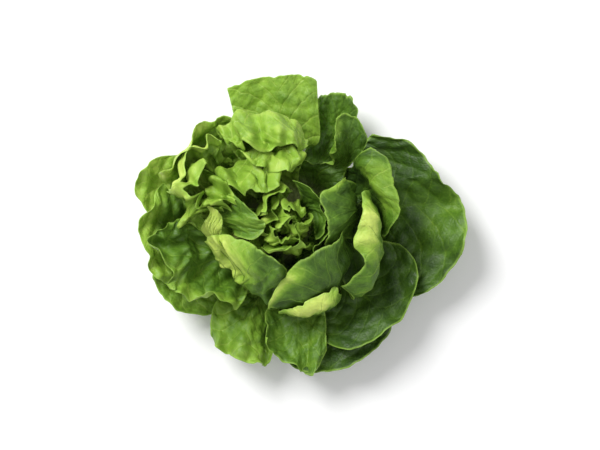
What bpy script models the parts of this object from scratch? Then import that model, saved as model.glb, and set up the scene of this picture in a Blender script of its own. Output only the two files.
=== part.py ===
"""A head of butterhead lettuce: a cut stem and its rosette of leaves, each leaf a solid of its own.

Every leaf starts as a patch of one nested family of surfaces. A layer of 0 is the heart and 1 the leaf that
lies lowest, so two leaves in different layers never cross. A plain leaf ruffles only within the room that the
layers beside it leave free. The upper part of a leaf in SHAPES has a shape of its own. All sizes are in metres
and all angles in degrees, with +Z up the stem's axis.
"""

import math
from collections import namedtuple

import bpy
import numpy as np

# Driving sizes.
HEAD_WIDTH = 0.280
HEAD_HEIGHT = 0.103
STEM_DIAMETER = 0.036
STEM_HEIGHT = 0.046
STEM_CUT_DIAMETER = 0.030
LEAF_THICKNESS = 0.0007
RIB_THICKNESS = 0.0032
PIECE_GAP = 0.0004

# The layout is drawn for a head of these sizes, and the driving sizes stretch the leaves beyond the stem.
DRAWN_WIDTH = 0.280
DRAWN_HEIGHT = 0.103
DRAWN_STEM_DIAMETER = 0.036
DRAWN_STEM_HEIGHT = 0.046
WIDER = (HEAD_WIDTH - STEM_DIAMETER) / (DRAWN_WIDTH - DRAWN_STEM_DIAMETER)
TALLER = (HEAD_HEIGHT - STEM_HEIGHT) / (DRAWN_HEIGHT - DRAWN_STEM_HEIGHT)

# How the family of surfaces runs from the heart (layer 0) to the lowest leaf (layer 1): where a leaf leaves
# the stem as a share of the stem's radius and height, the arc that it grows along before it is full length,
# the slope that it leaves the stem with, and the slope that it ends with on each side of the head.
Key = namedtuple("Key", "layer root_radius root_height arc root_slope open_slope closed_slope")
KEYS = (
    Key(0.00, 0.22, 1.00, 0.060, 80, 118, 128),
    Key(0.20, 0.50, 0.86, 0.080, 66, 112, 118),
    Key(0.40, 0.74, 0.68, 0.098, 50, 108, 118),
    Key(0.55, 0.87, 0.53, 0.112, 38, 106, 120),
    Key(0.62, 0.91, 0.47, 0.114, 33, 84, 118),
    Key(0.76, 0.98, 0.36, 0.122, 24, 68, 106),
    Key(0.86, 1.00, 0.27, 0.124, 6, 46, 60),
    Key(1.00, 1.00, 0.15, 0.132, -13, 28, 32),
)
OPEN_AZIMUTH = -25
ARC_STEPS = 24

# Each leaf: its name, the azimuth that it grows towards, its layer, its length as a share of the family's arc,
# the half angle that it spans, its rim, and how far it ruffles. A rim is the leaf's length at five places from
# its clockwise edge to its other edge, as shares of the whole length.
Leaf = namedtuple("Leaf", "name azimuth layer length half_angle rim ruffle")
ROUND = (0.62, 0.91, 1.00, 0.91, 0.62)
BROAD = (0.72, 0.97, 1.00, 0.97, 0.72)
SQUARE = (0.88, 1.00, 1.00, 1.00, 0.88)
FULL = (0.96, 1.00, 1.00, 1.00, 0.96)
OUTER_LEAVES = (
    Leaf("outer_leaf_01", 3, 0.985, 1.05, 44, FULL, 0.0),
    Leaf("outer_leaf_02", 164, 0.960, 0.94, 20, ROUND, 1.0),
    Leaf("outer_leaf_03", -66, 0.945, 0.93, 30, BROAD, 0.6),
    Leaf("outer_leaf_04", 63, 0.940, 0.84, 17, FULL, 0.0),
    Leaf("outer_leaf_05", -149, 0.935, 0.88, 23, (0.72, 0.97, 1.00, 0.90, 0.66), 1.0),
    Leaf("outer_leaf_06", -44, 0.900, 0.90, 33, BROAD, 0.6),
    Leaf("outer_leaf_07", -111, 0.905, 0.89, 22, FULL, 0.0),
    Leaf("outer_leaf_08", 96, 0.895, 0.93, 21, FULL, 0.0),
    Leaf("outer_leaf_09", -174, 0.890, 0.95, 28, BROAD, 1.0),
    Leaf("outer_leaf_10", -84, 0.860, 0.97, 19, FULL, 0.0),
    Leaf("outer_leaf_11", 142, 0.850, 0.96, 24, (0.78, 0.90, 1.00, 0.99, 0.84), 1.0),
)
WRAPPER_LEAVES = (
    Leaf("wrapper_leaf_01", 158, 0.780, 0.98, 28, FULL, 0.0),
    Leaf("wrapper_leaf_02", 20, 0.775, 1.00, 38, FULL, 0.0),
    Leaf("wrapper_leaf_03", -143, 0.745, 0.98, 42, FULL, 0.0),
    Leaf("wrapper_leaf_04", 108, 0.740, 1.00, 26, FULL, 0.0),
    Leaf("wrapper_leaf_05", -72, 0.700, 0.96, 34, FULL, 0.0),
    Leaf("wrapper_leaf_06", 56, 0.690, 0.98, 32, FULL, 0.0),
    Leaf("wrapper_leaf_07", -14, 0.665, 0.96, 36, FULL, 0.0),
    Leaf("wrapper_leaf_08", 168, 0.650, 1.00, 34, FULL, 0.0),
    Leaf("wrapper_leaf_09", 168, 0.595, 0.98, 38, FULL, 0.0),
    Leaf("wrapper_leaf_10", 106, 0.560, 1.00, 36, FULL, 0.0),
    Leaf("wrapper_leaf_11", -58, 0.545, 1.00, 46, FULL, 0.0),
    Leaf("wrapper_leaf_12", 10, 0.520, 1.00, 38, FULL, 0.0),
    Leaf("wrapper_leaf_13", 190, 0.490, 1.00, 9, FULL, 0.0),
    Leaf("wrapper_leaf_14", -128, 0.445, 1.00, 34, FULL, 0.0),
    Leaf("wrapper_leaf_15", 122, 0.470, 1.00, 30, FULL, 0.0),
)
INNER_LEAVES = (
    Leaf("inner_leaf_01", 180, 0.400, 1.00, 26, FULL, 0.0),
    Leaf("inner_leaf_02", -32, 0.360, 0.62, 46, BROAD, 1.0),
    Leaf("inner_leaf_03", -165, 0.330, 0.58, 48, BROAD, 1.0),
    Leaf("inner_leaf_04", 125, 0.300, 0.80, 40, BROAD, 1.0),
    Leaf("inner_leaf_05", -85, 0.275, 0.78, 48, BROAD, 1.0),
    Leaf("inner_leaf_06", 40, 0.245, 1.00, 36, FULL, 0.0),
    Leaf("inner_leaf_07", 158, 0.220, 0.72, 50, BROAD, 1.0),
)
HEART_LEAVES = (
    Leaf("heart_leaf_01", -130, 0.190, 0.80, 52, BROAD, 1.0),
    Leaf("heart_leaf_02", -30, 0.160, 0.78, 54, BROAD, 1.0),
    Leaf("heart_leaf_03", 75, 0.130, 0.80, 56, BROAD, 1.0),
    Leaf("heart_leaf_04", -172, 0.100, 0.78, 56, BROAD, 1.0),
    Leaf("heart_leaf_05", -75, 0.070, 0.78, 60, BROAD, 1.0),
    Leaf("heart_leaf_06", 35, 0.036, 0.78, 64, BROAD, 1.0),
    Leaf("heart_leaf_07", 150, 0.000, 0.76, 70, BROAD, 1.0),
)
LEAVES = OUTER_LEAVES + WRAPPER_LEAVES + INNER_LEAVES + HEART_LEAVES

# Leaves whose upper part has a shape of its own: rows of places up to the rim, each from the leaf's clockwise
# edge to its other edge, as (x, y, z) in millimetres of the drawn head. Below them they follow the family.
FAMILY_SHARES = (0.0, 0.18, 0.36)
LOW_NARROWING = 0.6
MILLIMETRE = 0.001
SHAPES = {
    "outer_leaf_01": (
        ((72, -46, 10), (80, -36, 10), (88, -22, 12), (91, -4, 14), (90, 12, 13),
         (84, 26, 17), (78, 36, 19), (70, 47, 19), (56, 57, 18)),
        ((92, -58, 20), (108, -48, 22), (120, -29, 26), (126, -5, 28), (122, 16, 21),
         (113, 33, 36), (102, 43, 34), (89, 58, 32), (65, 69, 28)),
        ((101, -66, 28), (124, -56, 34), (143, -34, 40), (150, -6, 44), (147, 18, 29),
         (131, 36, 50), (117, 48, 46), (101, 68, 42), (73, 77, 36)),
    ),
    "outer_leaf_04": (
        ((50, 62, 19), (42, 70, 17), (33, 76, 16), (24, 79, 14)),
        ((56, 76, 30), (49, 86, 28), (37, 92, 27), (25, 94, 25)),
        ((57, 86, 36), (55, 105, 35), (40, 109, 34), (25, 107, 31)),
    ),
    "outer_leaf_07": (
        ((-56, -62, 26), (-42, -70, 24), (-30, -74, 26), (-18, -76, 20), (-8, -78, 16)),
        ((-65, -84, 34), (-51, -93, 34), (-36, -98, 38), (-22, -100, 28), (-12, -99, 20)),
        ((-66, -100, 34), (-55, -109, 38), (-38, -117, 42), (-22, -121, 38), (-11, -112, 30)),
    ),
    "outer_leaf_08": (
        ((22, 64, 24), (10, 70, 25), (-4, 72, 25), (-18, 70, 25), (-34, 64, 24)),
        ((26, 90, 35), (10, 97, 37), (-8, 99, 38), (-27, 97, 37), (-46, 90, 34)),
        ((24, 122, 42), (8, 124, 45), (-10, 122, 46), (-31, 119, 44), (-52, 115, 40)),
    ),
    "outer_leaf_10": (
        ((-18, -73, 34), (-5, -78, 28), (8, -80, 28), (20, -78, 30), (30, -72, 30)),
        ((-20, -91, 46), (-5, -101, 36), (9, -105, 36), (21, -102, 38), (32, -94, 36)),
        ((-18, -99, 52), (-6, -113, 46), (10, -124, 40), (20, -128, 38), (33, -112, 38)),
    ),
    "wrapper_leaf_01": (
        ((-38, 42, 42), (-50, 42, 40), (-60, 34, 38), (-70, 24, 38), (-76, 12, 40)),
        ((-52, 56, 60), (-62, 54, 60), (-74, 46, 58), (-85, 34, 58), (-92, 20, 57)),
        ((-62, 68, 82), (-70, 65, 86), (-81, 55, 86), (-91, 42, 84), (-98, 29, 77)),
    ),
    "wrapper_leaf_02": (
        ((74, -7, 40), (72, 10, 45), (67, 26, 50), (60, 38, 53), (54, 46, 54)),
        ((80, -9, 58), (80, 12, 76), (75, 29, 82), (68, 44, 84), (60, 56, 80)),
        ((83, -14, 62), (89, 9, 80), (90, 27, 82), (84, 46, 84), (70, 63, 80)),
    ),
    "wrapper_leaf_03": (
        ((-60, -6, 44), (-62, -14, 38), (-58, -26, 36), (-50, -34, 36), (-38, -42, 34), (-26, -48, 34)),
        ((-80, 0, 56), (-85, -14, 52), (-80, -30, 50), (-68, -42, 46), (-52, -51, 44), (-34, -59, 43)),
        ((-104, 4, 72), (-110, -16, 76), (-103, -36, 76), (-90, -52, 72), (-69, -62, 66), (-42, -71, 58)),
    ),
    "wrapper_leaf_04": (
        ((16, 73, 58), (0, 82, 62), (-18, 87, 62), (-40, 86, 60), (-62, 78, 58)),
        ((15, 66, 78), (1, 73, 83), (-18, 76, 86), (-38, 77, 84), (-59, 73, 78)),
        ((12, 55, 87), (-2, 58, 91), (-18, 60, 93), (-36, 62, 91), (-53, 66, 85)),
    ),
    "wrapper_leaf_05": (
        ((-8, -66, 38), (6, -70, 40), (18, -69, 42), (33, -63, 44), (44, -55, 46)),
        ((-8, -75, 58), (6, -76, 63), (19, -72.5, 66), (35, -66, 70), (43, -58, 72)),
        ((-8, -73, 62), (4, -71, 66), (15, -64.5, 70), (31, -56, 73), (41, -52, 74)),
    ),
    "wrapper_leaf_06": (
        ((46, 38, 46), (46, 44, 46), (43, 48, 48), (38, 50, 49), (32, 50, 49)),
        ((57, 52, 64), (56, 60, 66), (50, 65, 70), (42, 62, 72), (34, 56, 72)),
        ((64, 64, 74), (60, 78, 80), (47, 88, 85), (38, 72, 88), (36, 60, 86)),
    ),
    "wrapper_leaf_07": (
        ((50, -58, 44), (57, -50, 44), (63, -42, 46), (66, -32, 48), (68, -22, 48),
         (69, -12, 50), (68, -2, 50), (66, 8, 50), (62, 18, 50)),
        ((52, -62, 62), (60, -58, 68), (68, -47, 76), (70, -33, 82), (72, -21, 84),
         (72, -9, 86), (69, 3, 88), (67, 13, 87), (64, 24, 84)),
        ((41, -52, 72), (51, -47, 77), (60, -38, 83), (62, -30, 87), (56, -22, 88),
         (54.5, -11, 90), (57, 0, 92), (58.5, 9, 91), (58, 20, 87)),
    ),
    "wrapper_leaf_08": (
        ((-70, 44, 62), (-82, 32, 64), (-86, 20, 64), (-86, 8, 64), (-80, -2, 60)),
        ((-66, 43, 80), (-78, 34, 82), (-80, 24, 84), (-79, 15, 83), (-75, 8, 79)),
        ((-60, 38, 88), (-71, 33, 90), (-74, 27, 92), (-73, 20, 92), (-71, 14, 88)),
    ),
    "wrapper_leaf_09": (
        ((-62, 38, 62), (-69, 27, 64), (-74, 14, 64), (-76, 6, 62), (-76, 0, 60)),
        ((-53, 35, 82), (-55, 23, 86), (-60, 14, 86), (-63, 9, 84), (-66, 5, 80)),
        ((-45, 31, 88), (-41, 20, 94), (-47, 13, 93), (-53, 9, 91), (-58, 7, 88)),
    ),
    "wrapper_leaf_10": (
        ((14, 50, 62), (2, 57, 66), (-14, 62, 68), (-28, 63, 68), (-42, 59, 64)),
        ((11, 44, 83), (0, 47, 89), (-14, 51, 93), (-28, 56, 93), (-41, 56, 87)),
        ((6, 34, 90), (-4, 38, 93), (-16, 44, 95), (-28, 50, 95), (-39, 52, 91)),
    ),
    "wrapper_leaf_11": (
        ((-6, -66, 48), (16, -68, 54), (37, -57, 58), (48, -39, 62), (49, -17, 64)),
        ((-13, -71, 63), (9, -59, 75), (28, -45, 83), (41, -31, 86), (47, -12, 80)),
        ((-17, -73, 70), (-3, -45, 84), (18, -28, 92), (33, -17, 95), (46, -6, 87)),
    ),
    "wrapper_leaf_12": (
        ((50, -14, 58), (55, -2, 62), (55, 8, 64), (52, 20, 64), (51, 29, 64)),
        ((41, -16, 80), (43, -3, 88), (43, 9, 91), (42, 23, 91), (51, 33, 84)),
        ((30, -18, 88), (30, -2, 97), (29, 11, 99), (29, 24, 97), (48, 37, 87)),
    ),
    "wrapper_leaf_13": (
        ((-48, -13.5, 72), (-56, -15, 70), (-64, -17, 66)),
        ((-53, -6, 83), (-61, -4, 82), (-67, -4, 80)),
        ((-67.5, 9, 90), (-68.5, 9.5, 90), (-69.5, 8, 89)),
    ),
    "wrapper_leaf_14": (
        ((-57, -32, 53), (-48, -40, 58), (-37, -48, 60), (-21, -63, 60), (-8, -64, 58)),
        ((-64, -27, 64), (-50, -29, 75), (-35, -34, 82), (-18, -44, 84), (-4, -54, 76)),
        ((-72, -20, 69), (-53, -15, 81), (-32, -12, 90), (-14, -24, 93), (-2, -38, 88)),
    ),
    "wrapper_leaf_15": (
        ((-6, 44, 66), (-16, 50, 68), (-30, 52, 68), (-44, 48, 66), (-56, 38, 62)),
        ((-4, 36, 88), (-14, 38, 91), (-26, 40, 91), (-40, 38, 90), (-49, 30, 83)),
        ((-2, 27, 93), (-12, 27, 96), (-22, 28, 96), (-34, 26, 96), (-41, 22, 90)),
    ),
    "inner_leaf_01": (
        ((-58, 20, 62), (-56, 10, 64), (-53, 2, 66), (-48, -2.5, 66), (-40, -4.5, 64)),
        ((-49, 21, 82), (-43, 13, 88), (-38, 5, 90), (-34, -2, 88), (-34, -9, 83)),
        ((-40, 22, 89), (-31, 15, 94), (-25, 7, 95), (-22, -1, 94), (-23, -8, 89)),
    ),
    "inner_leaf_06": (
        ((23, -7, 74), (25, 3, 76), (24, 13, 77), (20, 21, 78), (9, 27, 78)),
        ((26, -13, 84), (28.5, 0, 91), (28, 12, 95), (25, 23, 96), (7, 32, 92)),
    ),
}

# Shape of one leaf.
WAIST = 0.26
WAIST_ENDS = 0.72
RIB_HALF_WIDTH = 0.16
RIB_TAPER = 1.6
RIB_ENDS = 0.9
RIB_ROOT = 0.55
RIB_SWELLS = 0.15
RIB_ROOM = 0.8

# Ruffles: the waves across a leaf, how they weaken as they get shorter, turn and grow along it, the share of
# the free room that they use, and what bounds that room.
WAVES = (1.1, 2.3, 3.7)
WAVE_FADE = 0.35
WAVE_TURN = 1.5
WAVE_GROWTH = 1.4
ROOM_SHARE = 0.80
ROOM_MARGIN = 12
ROOM_OFFSETS = (-8, -4, 0, 4, 8)
MOST_ROOM = 0.08
HEART_ROOM = 0.03
FLOOR_ROOM = 0.02

# The crumple that bends the whole head above its stem: its depth, what the closed side adds, the wave lengths
# across and up with the phase for each way it moves, where the closed side starts, and the open leaves' waves.
CRUMPLE = 0.002
CRUMPLE_SHUT = 0.003
CRUMPLE_X = (0.0085, 0.012, 0.0)
CRUMPLE_Y = (0.0095, -0.014, 1.3)
CRUMPLE_STARTS = STEM_HEIGHT + 0.002
CRUMPLE_GROWS = 0.030
SHUT_STARTS = -0.012
SHUT_GROWS = 0.045
SWELL = 0.002
SWELL_X = (0.014, 0.7)
SWELL_Y = 0.012
SWELL_STARTS = 0.050
SWELL_GROWS = 0.050

# Grid of one leaf's face, as columns and rows.
GRIDS = {"outer": (12, 8), "wrapper": (10, 7), "inner": (10, 6), "heart": (10, 6)}
STEM_SIDES = 32

GREENS = {
    "outer": (0.07, 0.17, 0.02, 1),
    "wrapper": (0.12, 0.27, 0.03, 1),
    "inner": (0.20, 0.36, 0.05, 1),
    "heart": (0.28, 0.42, 0.08, 1),
}
STEM_COLOUR = (0.62, 0.60, 0.38, 1)
LEAF_ROUGHNESS = 0.45
STEM_ROUGHNESS = 0.6


def key_values(name, layer):
    """The named column of KEYS at these layers."""
    layers = [key.layer for key in KEYS]
    return np.interp(layer, layers, [getattr(key, name) for key in KEYS])


def ease(x):
    """A smooth step from 0 to 1."""
    x = np.clip(x, 0, 1)
    return x * x * (3 - 2 * x)


def closedness(azimuth):
    """0 where the head has opened and 1 where its leaves still wrap over the heart."""
    return 0.5 - 0.5 * np.cos(np.radians(azimuth - OPEN_AZIMUTH))


def family_point(layer, azimuth, arc):
    """Points of the family: out from the stem along the arc, in the upright plane at the azimuth."""
    closed = closedness(azimuth)
    root = key_values("root_slope", layer)
    tip = key_values("open_slope", layer) * (1 - closed) + key_values("closed_slope", layer) * closed
    full = key_values("arc", layer)
    out, rise, fall = np.zeros_like(arc), np.zeros_like(arc), np.zeros_like(arc)
    for step in range(ARC_STEPS):
        along = arc * (step + 0.5) / ARC_STEPS
        slope = np.radians(root + (tip - root) * ease(along / full))
        out += np.cos(slope) * arc / ARC_STEPS
        rise += np.maximum(np.sin(slope), 0) * arc / ARC_STEPS
        fall += np.minimum(np.sin(slope), 0) * arc / ARC_STEPS
    radius = key_values("root_radius", layer) * STEM_DIAMETER / 2 + PIECE_GAP + out * WIDER
    fall *= STEM_HEIGHT / DRAWN_STEM_HEIGHT
    height = key_values("root_height", layer) * STEM_HEIGHT + fall + rise * TALLER
    turn = np.radians(azimuth)
    return np.stack([radius * np.cos(turn), radius * np.sin(turn), height], axis=-1)


def spline(places, values, at):
    """A smooth curve through the values at these places, read at others."""
    gaps = np.diff(places)
    system, known = np.eye(len(places)), np.zeros(values.shape)
    for i in range(1, len(places) - 1):
        system[i, i - 1 : i + 2] = gaps[i - 1], 2 * (gaps[i - 1] + gaps[i]), gaps[i]
        known[i] = 6 * ((values[i + 1] - values[i]) / gaps[i] - (values[i] - values[i - 1]) / gaps[i - 1])
    bend = np.linalg.solve(system, known.reshape(len(places), -1)).reshape(values.shape)
    i = np.clip(np.searchsorted(places, at) - 1, 0, len(places) - 2)
    shape = (-1,) + (1,) * (values.ndim - 1)
    gap = gaps[i].reshape(shape)
    b = (at.reshape(shape) - np.asarray(places)[i].reshape(shape)) / gap
    a = 1 - b
    cubic = ((a**3 - a) * bend[i] + (b**3 - b) * bend[i + 1]) * gap**2 / 6
    return a * values[i] + b * values[i + 1] + cubic


def shaped_face(leaf, across, along, rim):
    """Points of a leaf that has a shape of its own, from its root on the stem to its rim."""
    rows = np.array(SHAPES[leaf.name], dtype=float) * MILLIMETRE
    columns = np.linspace(-1, 1, rows.shape[1])
    radius = np.hypot(rows[..., 0], rows[..., 1])
    drawn_root = key_values("root_radius", leaf.layer) * DRAWN_STEM_DIAMETER / 2
    root = key_values("root_radius", leaf.layer) * STEM_DIAMETER / 2
    rows[..., :2] *= ((root + (radius - drawn_root) * WIDER) / radius)[..., None]
    drawn_root = key_values("root_height", leaf.layer) * DRAWN_STEM_HEIGHT
    root = key_values("root_height", leaf.layer) * STEM_HEIGHT
    rows[..., 2] = root + (rows[..., 2] - drawn_root) * TALLER
    shares = np.array(FAMILY_SHARES)[:, None] + 0 * columns
    azimuth = leaf.azimuth + leaf.half_angle * (1 - LOW_NARROWING * shares) * columns
    low = family_point(np.full_like(shares, leaf.layer), azimuth, shares * key_values("arc", leaf.layer))
    rows = np.concatenate([low, rows])
    steps = np.linalg.norm(np.diff(rows, axis=0), axis=-1).mean(axis=1)
    places = np.concatenate([[0], np.cumsum(steps)]) / steps.sum()
    lines = spline(columns, rows.transpose(1, 0, 2), across[:, 0])
    face = np.empty(across.shape + (3,))
    for i, line in enumerate(lines):
        face[i] = spline(places, line, along[i] * min(1, rim[i, 0]))
    return face


def crumple(points):
    """Shears that bend the head clear of its stem, most where it is closed, and can't make leaves cross."""
    x, y, z = (points[..., i].copy() for i in range(3))
    turn = math.radians(OPEN_AZIMUTH)
    shut = ease((-SHUT_STARTS - x * math.cos(turn) - y * math.sin(turn)) / SHUT_GROWS)
    above = WIDER * ease((z - CRUMPLE_STARTS) / (CRUMPLE_GROWS * TALLER)) * (CRUMPLE + CRUMPLE_SHUT * shut)
    for moved, other, (length, rise, phase) in ((x, y, CRUMPLE_X), (y, x, CRUMPLE_Y)):
        moved += above * np.sin(other / (length * WIDER) + z / rise + phase)
    swell = SWELL * TALLER * ease((np.hypot(x, y) / WIDER - SWELL_STARTS) / SWELL_GROWS)
    (length, phase), other = SWELL_X, SWELL_Y
    z += swell * (1 + np.sin(x / (length * WIDER) + phase) * np.sin(y / (other * WIDER)))
    return np.stack([x, y, z], axis=-1)


def apart(a, b):
    """The angle between two azimuths."""
    return abs((a - b + 180) % 360 - 180)


def room(leaf, azimuth):
    """How far the leaf can shift towards the heart, and away from it, at these azimuths, in layers."""
    sums = [0, 0]
    for offset in ROOM_OFFSETS:
        free = [
            np.full(np.shape(azimuth), min(MOST_ROOM, leaf.layer + HEART_ROOM)),
            np.full(np.shape(azimuth), min(MOST_ROOM, 1 + FLOOR_ROOM - leaf.layer)),
        ]
        for other in LEAVES:
            if other is leaf:
                continue
            meets = apart(azimuth + offset, other.azimuth) < other.half_angle + ROOM_MARGIN
            side = 0 if other.layer < leaf.layer else 1
            halfway = abs(other.layer - leaf.layer) / 2
            free[side] = np.where(meets, np.minimum(free[side], halfway), free[side])
        sums = [total + value / len(ROOM_OFFSETS) for total, value in zip(sums, free)]
    return sums


def ruffles(leaf, across, along):
    """Waves that grow towards the rim, between -1 and 1."""
    draw = np.random.default_rng(1000 + round(leaf.azimuth) + round(1000 * leaf.layer))
    waves = np.zeros_like(across)
    for count in WAVES:
        strength = draw.uniform(0.5, 1.0) / count**WAVE_FADE
        waves += strength * np.sin(count * math.pi * across + draw.uniform(0, 2 * math.pi) + WAVE_TURN * along)
    return np.tanh(waves) * along**WAVE_GROWTH


def middle_surface(leaf, across, along):
    """Points of the leaf: across is -1 to 1 from edge to edge, along is 0 at the stem and 1 at the rim."""
    rim = np.polyval(np.polyfit(np.linspace(-1, 1, len(leaf.rim)), leaf.rim, len(leaf.rim) - 1), across)
    if leaf.name in SHAPES:
        return crumple(shaped_face(leaf, across, along, rim))
    waist = 1 - WAIST * np.sin(math.pi * np.clip(along / WAIST_ENDS, 0, 1)) ** 2
    azimuth = leaf.azimuth + leaf.half_angle * waist * across
    arc = key_values("arc", leaf.layer) * leaf.length * rim * along
    inner, outer = room(leaf, leaf.azimuth + leaf.half_angle * across[:, :1])
    waves = ruffles(leaf, across, along) * leaf.ruffle * ROOM_SHARE
    layer = leaf.layer + np.where(waves > 0, waves * outer, waves * inner)
    return crumple(family_point(layer, azimuth, arc))


def rib_share(across, along):
    """The share of the rib's thickness here: 1 at the root of the leaf's midrib, and 0 on its blade."""
    half_width = RIB_HALF_WIDTH * (RIB_TAPER - along)
    ridge = 1 - ease(np.abs(across) / half_width)
    return ridge * (1 - ease(along / RIB_ENDS)) * (RIB_ROOT + (1 - RIB_ROOT) * ease(along / RIB_SWELLS))


def material(name, colour, roughness):
    made = bpy.data.materials.new(name)
    made.use_nodes = True
    shader = made.node_tree.nodes["Principled BSDF"]
    shader.inputs["Base Color"].default_value = colour
    shader.inputs["Roughness"].default_value = roughness
    shader.inputs["Metallic"].default_value = 0
    return made


def add_object(name, points, faces, finish):
    mesh = bpy.data.meshes.new(name)
    mesh.from_pydata([tuple(p) for p in points], [], faces)
    mesh.materials.append(finish)
    made = bpy.data.objects.new(name, mesh)
    bpy.context.scene.collection.objects.link(made)
    return made


def add_leaf(leaf, finish):
    """One leaf: a grid of its inner face, thickened outwards to the blade, and further along the midrib."""
    columns, rows = GRIDS[leaf.name.split("_")[0]]
    evenly = np.linspace(-1, 1, columns + 1)
    across = (evenly + np.sin(evenly * math.pi / 2)) / 2
    along = np.linspace(0, 1, rows + 1)
    across, along = np.meshgrid(across, along, indexing="ij")
    points = middle_surface(leaf, across, along).reshape(-1, 3)
    stride = rows + 1
    faces = []
    for column in range(columns):
        for row in range(rows):
            corner = column * stride + row
            faces.append((corner, corner + 1, corner + stride + 1, corner + stride))
    made = add_object(leaf.name, points, faces, finish)
    outer = room(leaf, np.array([leaf.azimuth]))[1]
    rib = min(RIB_THICKNESS, float(outer[0]) * RIB_ROOM * STEM_HEIGHT)
    thick = LEAF_THICKNESS + rib * rib_share(across, along).ravel()
    group = made.vertex_groups.new(name="thickness")
    for index, value in enumerate(thick):
        group.add([index], value / thick.max(), "REPLACE")
    solid = made.modifiers.new("thickness", "SOLIDIFY")
    solid.thickness = thick.max()
    solid.offset = -1
    solid.vertex_group = group.name
    return made


def add_stem(finish):
    """The stem's core, turned about its axis, from the growing tip down to the flat cut."""
    outline = [(0, STEM_HEIGHT * 1.04)]
    for key in KEYS:
        outline.append((key.root_radius * STEM_DIAMETER / 2, key.root_height * STEM_HEIGHT))
    bevel = 0.05 * STEM_CUT_DIAMETER
    outline += [(STEM_CUT_DIAMETER / 2 + bevel, 2 * bevel), (STEM_CUT_DIAMETER / 2, 0), (0, 0)]
    points = [(0, 0, outline[0][1])]
    for radius, height in outline[1:-1]:
        for side in range(STEM_SIDES):
            turn = 2 * math.pi * side / STEM_SIDES
            points.append((radius * math.cos(turn), radius * math.sin(turn), height))
    points.append((0, 0, 0))
    rings = len(outline) - 2
    faces = []
    for side in range(STEM_SIDES):
        after = (side + 1) % STEM_SIDES
        faces.append((0, 1 + side, 1 + after))
        for ring in range(rings - 1):
            first = 1 + ring * STEM_SIDES
            faces.append((first + side, first + STEM_SIDES + side, first + STEM_SIDES + after, first + after))
        last = 1 + (rings - 1) * STEM_SIDES
        faces.append((last + side, len(points) - 1, last + after))
    made = add_object("stem_core", points, faces, finish)
    made.data.shade_smooth()
    return made


def main():
    for old in list(bpy.data.objects):
        bpy.data.objects.remove(old)
    add_stem(material("stem", STEM_COLOUR, STEM_ROUGHNESS))
    greens = {name: material(name + "_leaf", colour, LEAF_ROUGHNESS) for name, colour in GREENS.items()}
    for leaf in LEAVES:
        add_leaf(leaf, greens[leaf.name.split("_")[0]])


main()
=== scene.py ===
"""A head of butterhead lettuce: veined, blistered leaves round a cut stem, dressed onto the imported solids.

Each leaf is a patch of one nested family of surfaces, as its solid is. A layer of 0 is the heart and 1 the
lowest leaf. A leaf ruffles, blisters and curls within the room that the layers beside it leave free.
Sizes are in metres and angles in degrees, with +Z up the stem's axis.
"""

import math
from collections import namedtuple

import bpy
import numpy as np
from bpy.props import FloatProperty, FloatVectorProperty, IntProperty, PointerProperty
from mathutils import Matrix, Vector


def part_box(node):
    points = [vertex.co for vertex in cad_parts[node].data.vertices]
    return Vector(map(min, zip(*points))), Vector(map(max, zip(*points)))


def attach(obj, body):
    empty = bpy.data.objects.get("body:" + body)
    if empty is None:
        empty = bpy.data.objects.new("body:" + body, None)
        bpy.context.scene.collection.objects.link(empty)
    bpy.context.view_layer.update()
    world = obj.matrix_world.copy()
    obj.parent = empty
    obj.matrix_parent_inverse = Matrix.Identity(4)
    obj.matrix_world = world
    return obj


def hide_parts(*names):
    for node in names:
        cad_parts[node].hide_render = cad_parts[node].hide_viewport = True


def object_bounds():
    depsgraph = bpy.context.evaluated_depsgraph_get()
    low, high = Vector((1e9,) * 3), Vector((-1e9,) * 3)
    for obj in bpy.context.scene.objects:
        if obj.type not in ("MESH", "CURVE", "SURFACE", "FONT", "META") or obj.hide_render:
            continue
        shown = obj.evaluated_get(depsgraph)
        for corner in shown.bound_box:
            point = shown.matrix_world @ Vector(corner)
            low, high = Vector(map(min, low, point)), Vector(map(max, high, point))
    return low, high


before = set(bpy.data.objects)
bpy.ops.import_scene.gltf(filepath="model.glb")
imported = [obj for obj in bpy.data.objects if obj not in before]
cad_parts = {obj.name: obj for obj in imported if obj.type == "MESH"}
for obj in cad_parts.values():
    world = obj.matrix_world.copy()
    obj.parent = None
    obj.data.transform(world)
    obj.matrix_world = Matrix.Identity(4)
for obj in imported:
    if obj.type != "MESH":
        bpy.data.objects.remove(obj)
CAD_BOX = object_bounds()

bl_info = {
    "name": "Butterhead Lettuce",
    "version": (1, 0, 0),
    "blender": (4, 5, 0),
    "location": "3D View > Sidebar > Lettuce",
    "description": "Grows a head of butterhead lettuce, leaf by leaf, on its cut stem",
    "category": "Add Mesh",
}

# The layout is drawn for a head of this spread and height on a stem of this size, and the frame stretches it.
DRAWN_WIDTH = 0.2804
DRAWN_HEIGHT = 0.1027
DRAWN_STEM_DIAMETER = 0.036
DRAWN_STEM_HEIGHT = 0.046
STEM_LOW, STEM_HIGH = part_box("stem_core")
# How high the stem's tip is, as a share of the height where the innermost leaf leaves it.
STEM_TIP_SHARE = 1.04
STEM_DIAMETER = STEM_HIGH.x - STEM_LOW.x
STEM_HEIGHT = STEM_HIGH.z / STEM_TIP_SHARE
WIDER = (CAD_BOX[1].x - CAD_BOX[0].x) / DRAWN_WIDTH
TALLER = (CAD_BOX[1].z - CAD_BOX[0].z) / DRAWN_HEIGHT
ROOT_GAP = 0.0004

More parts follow.
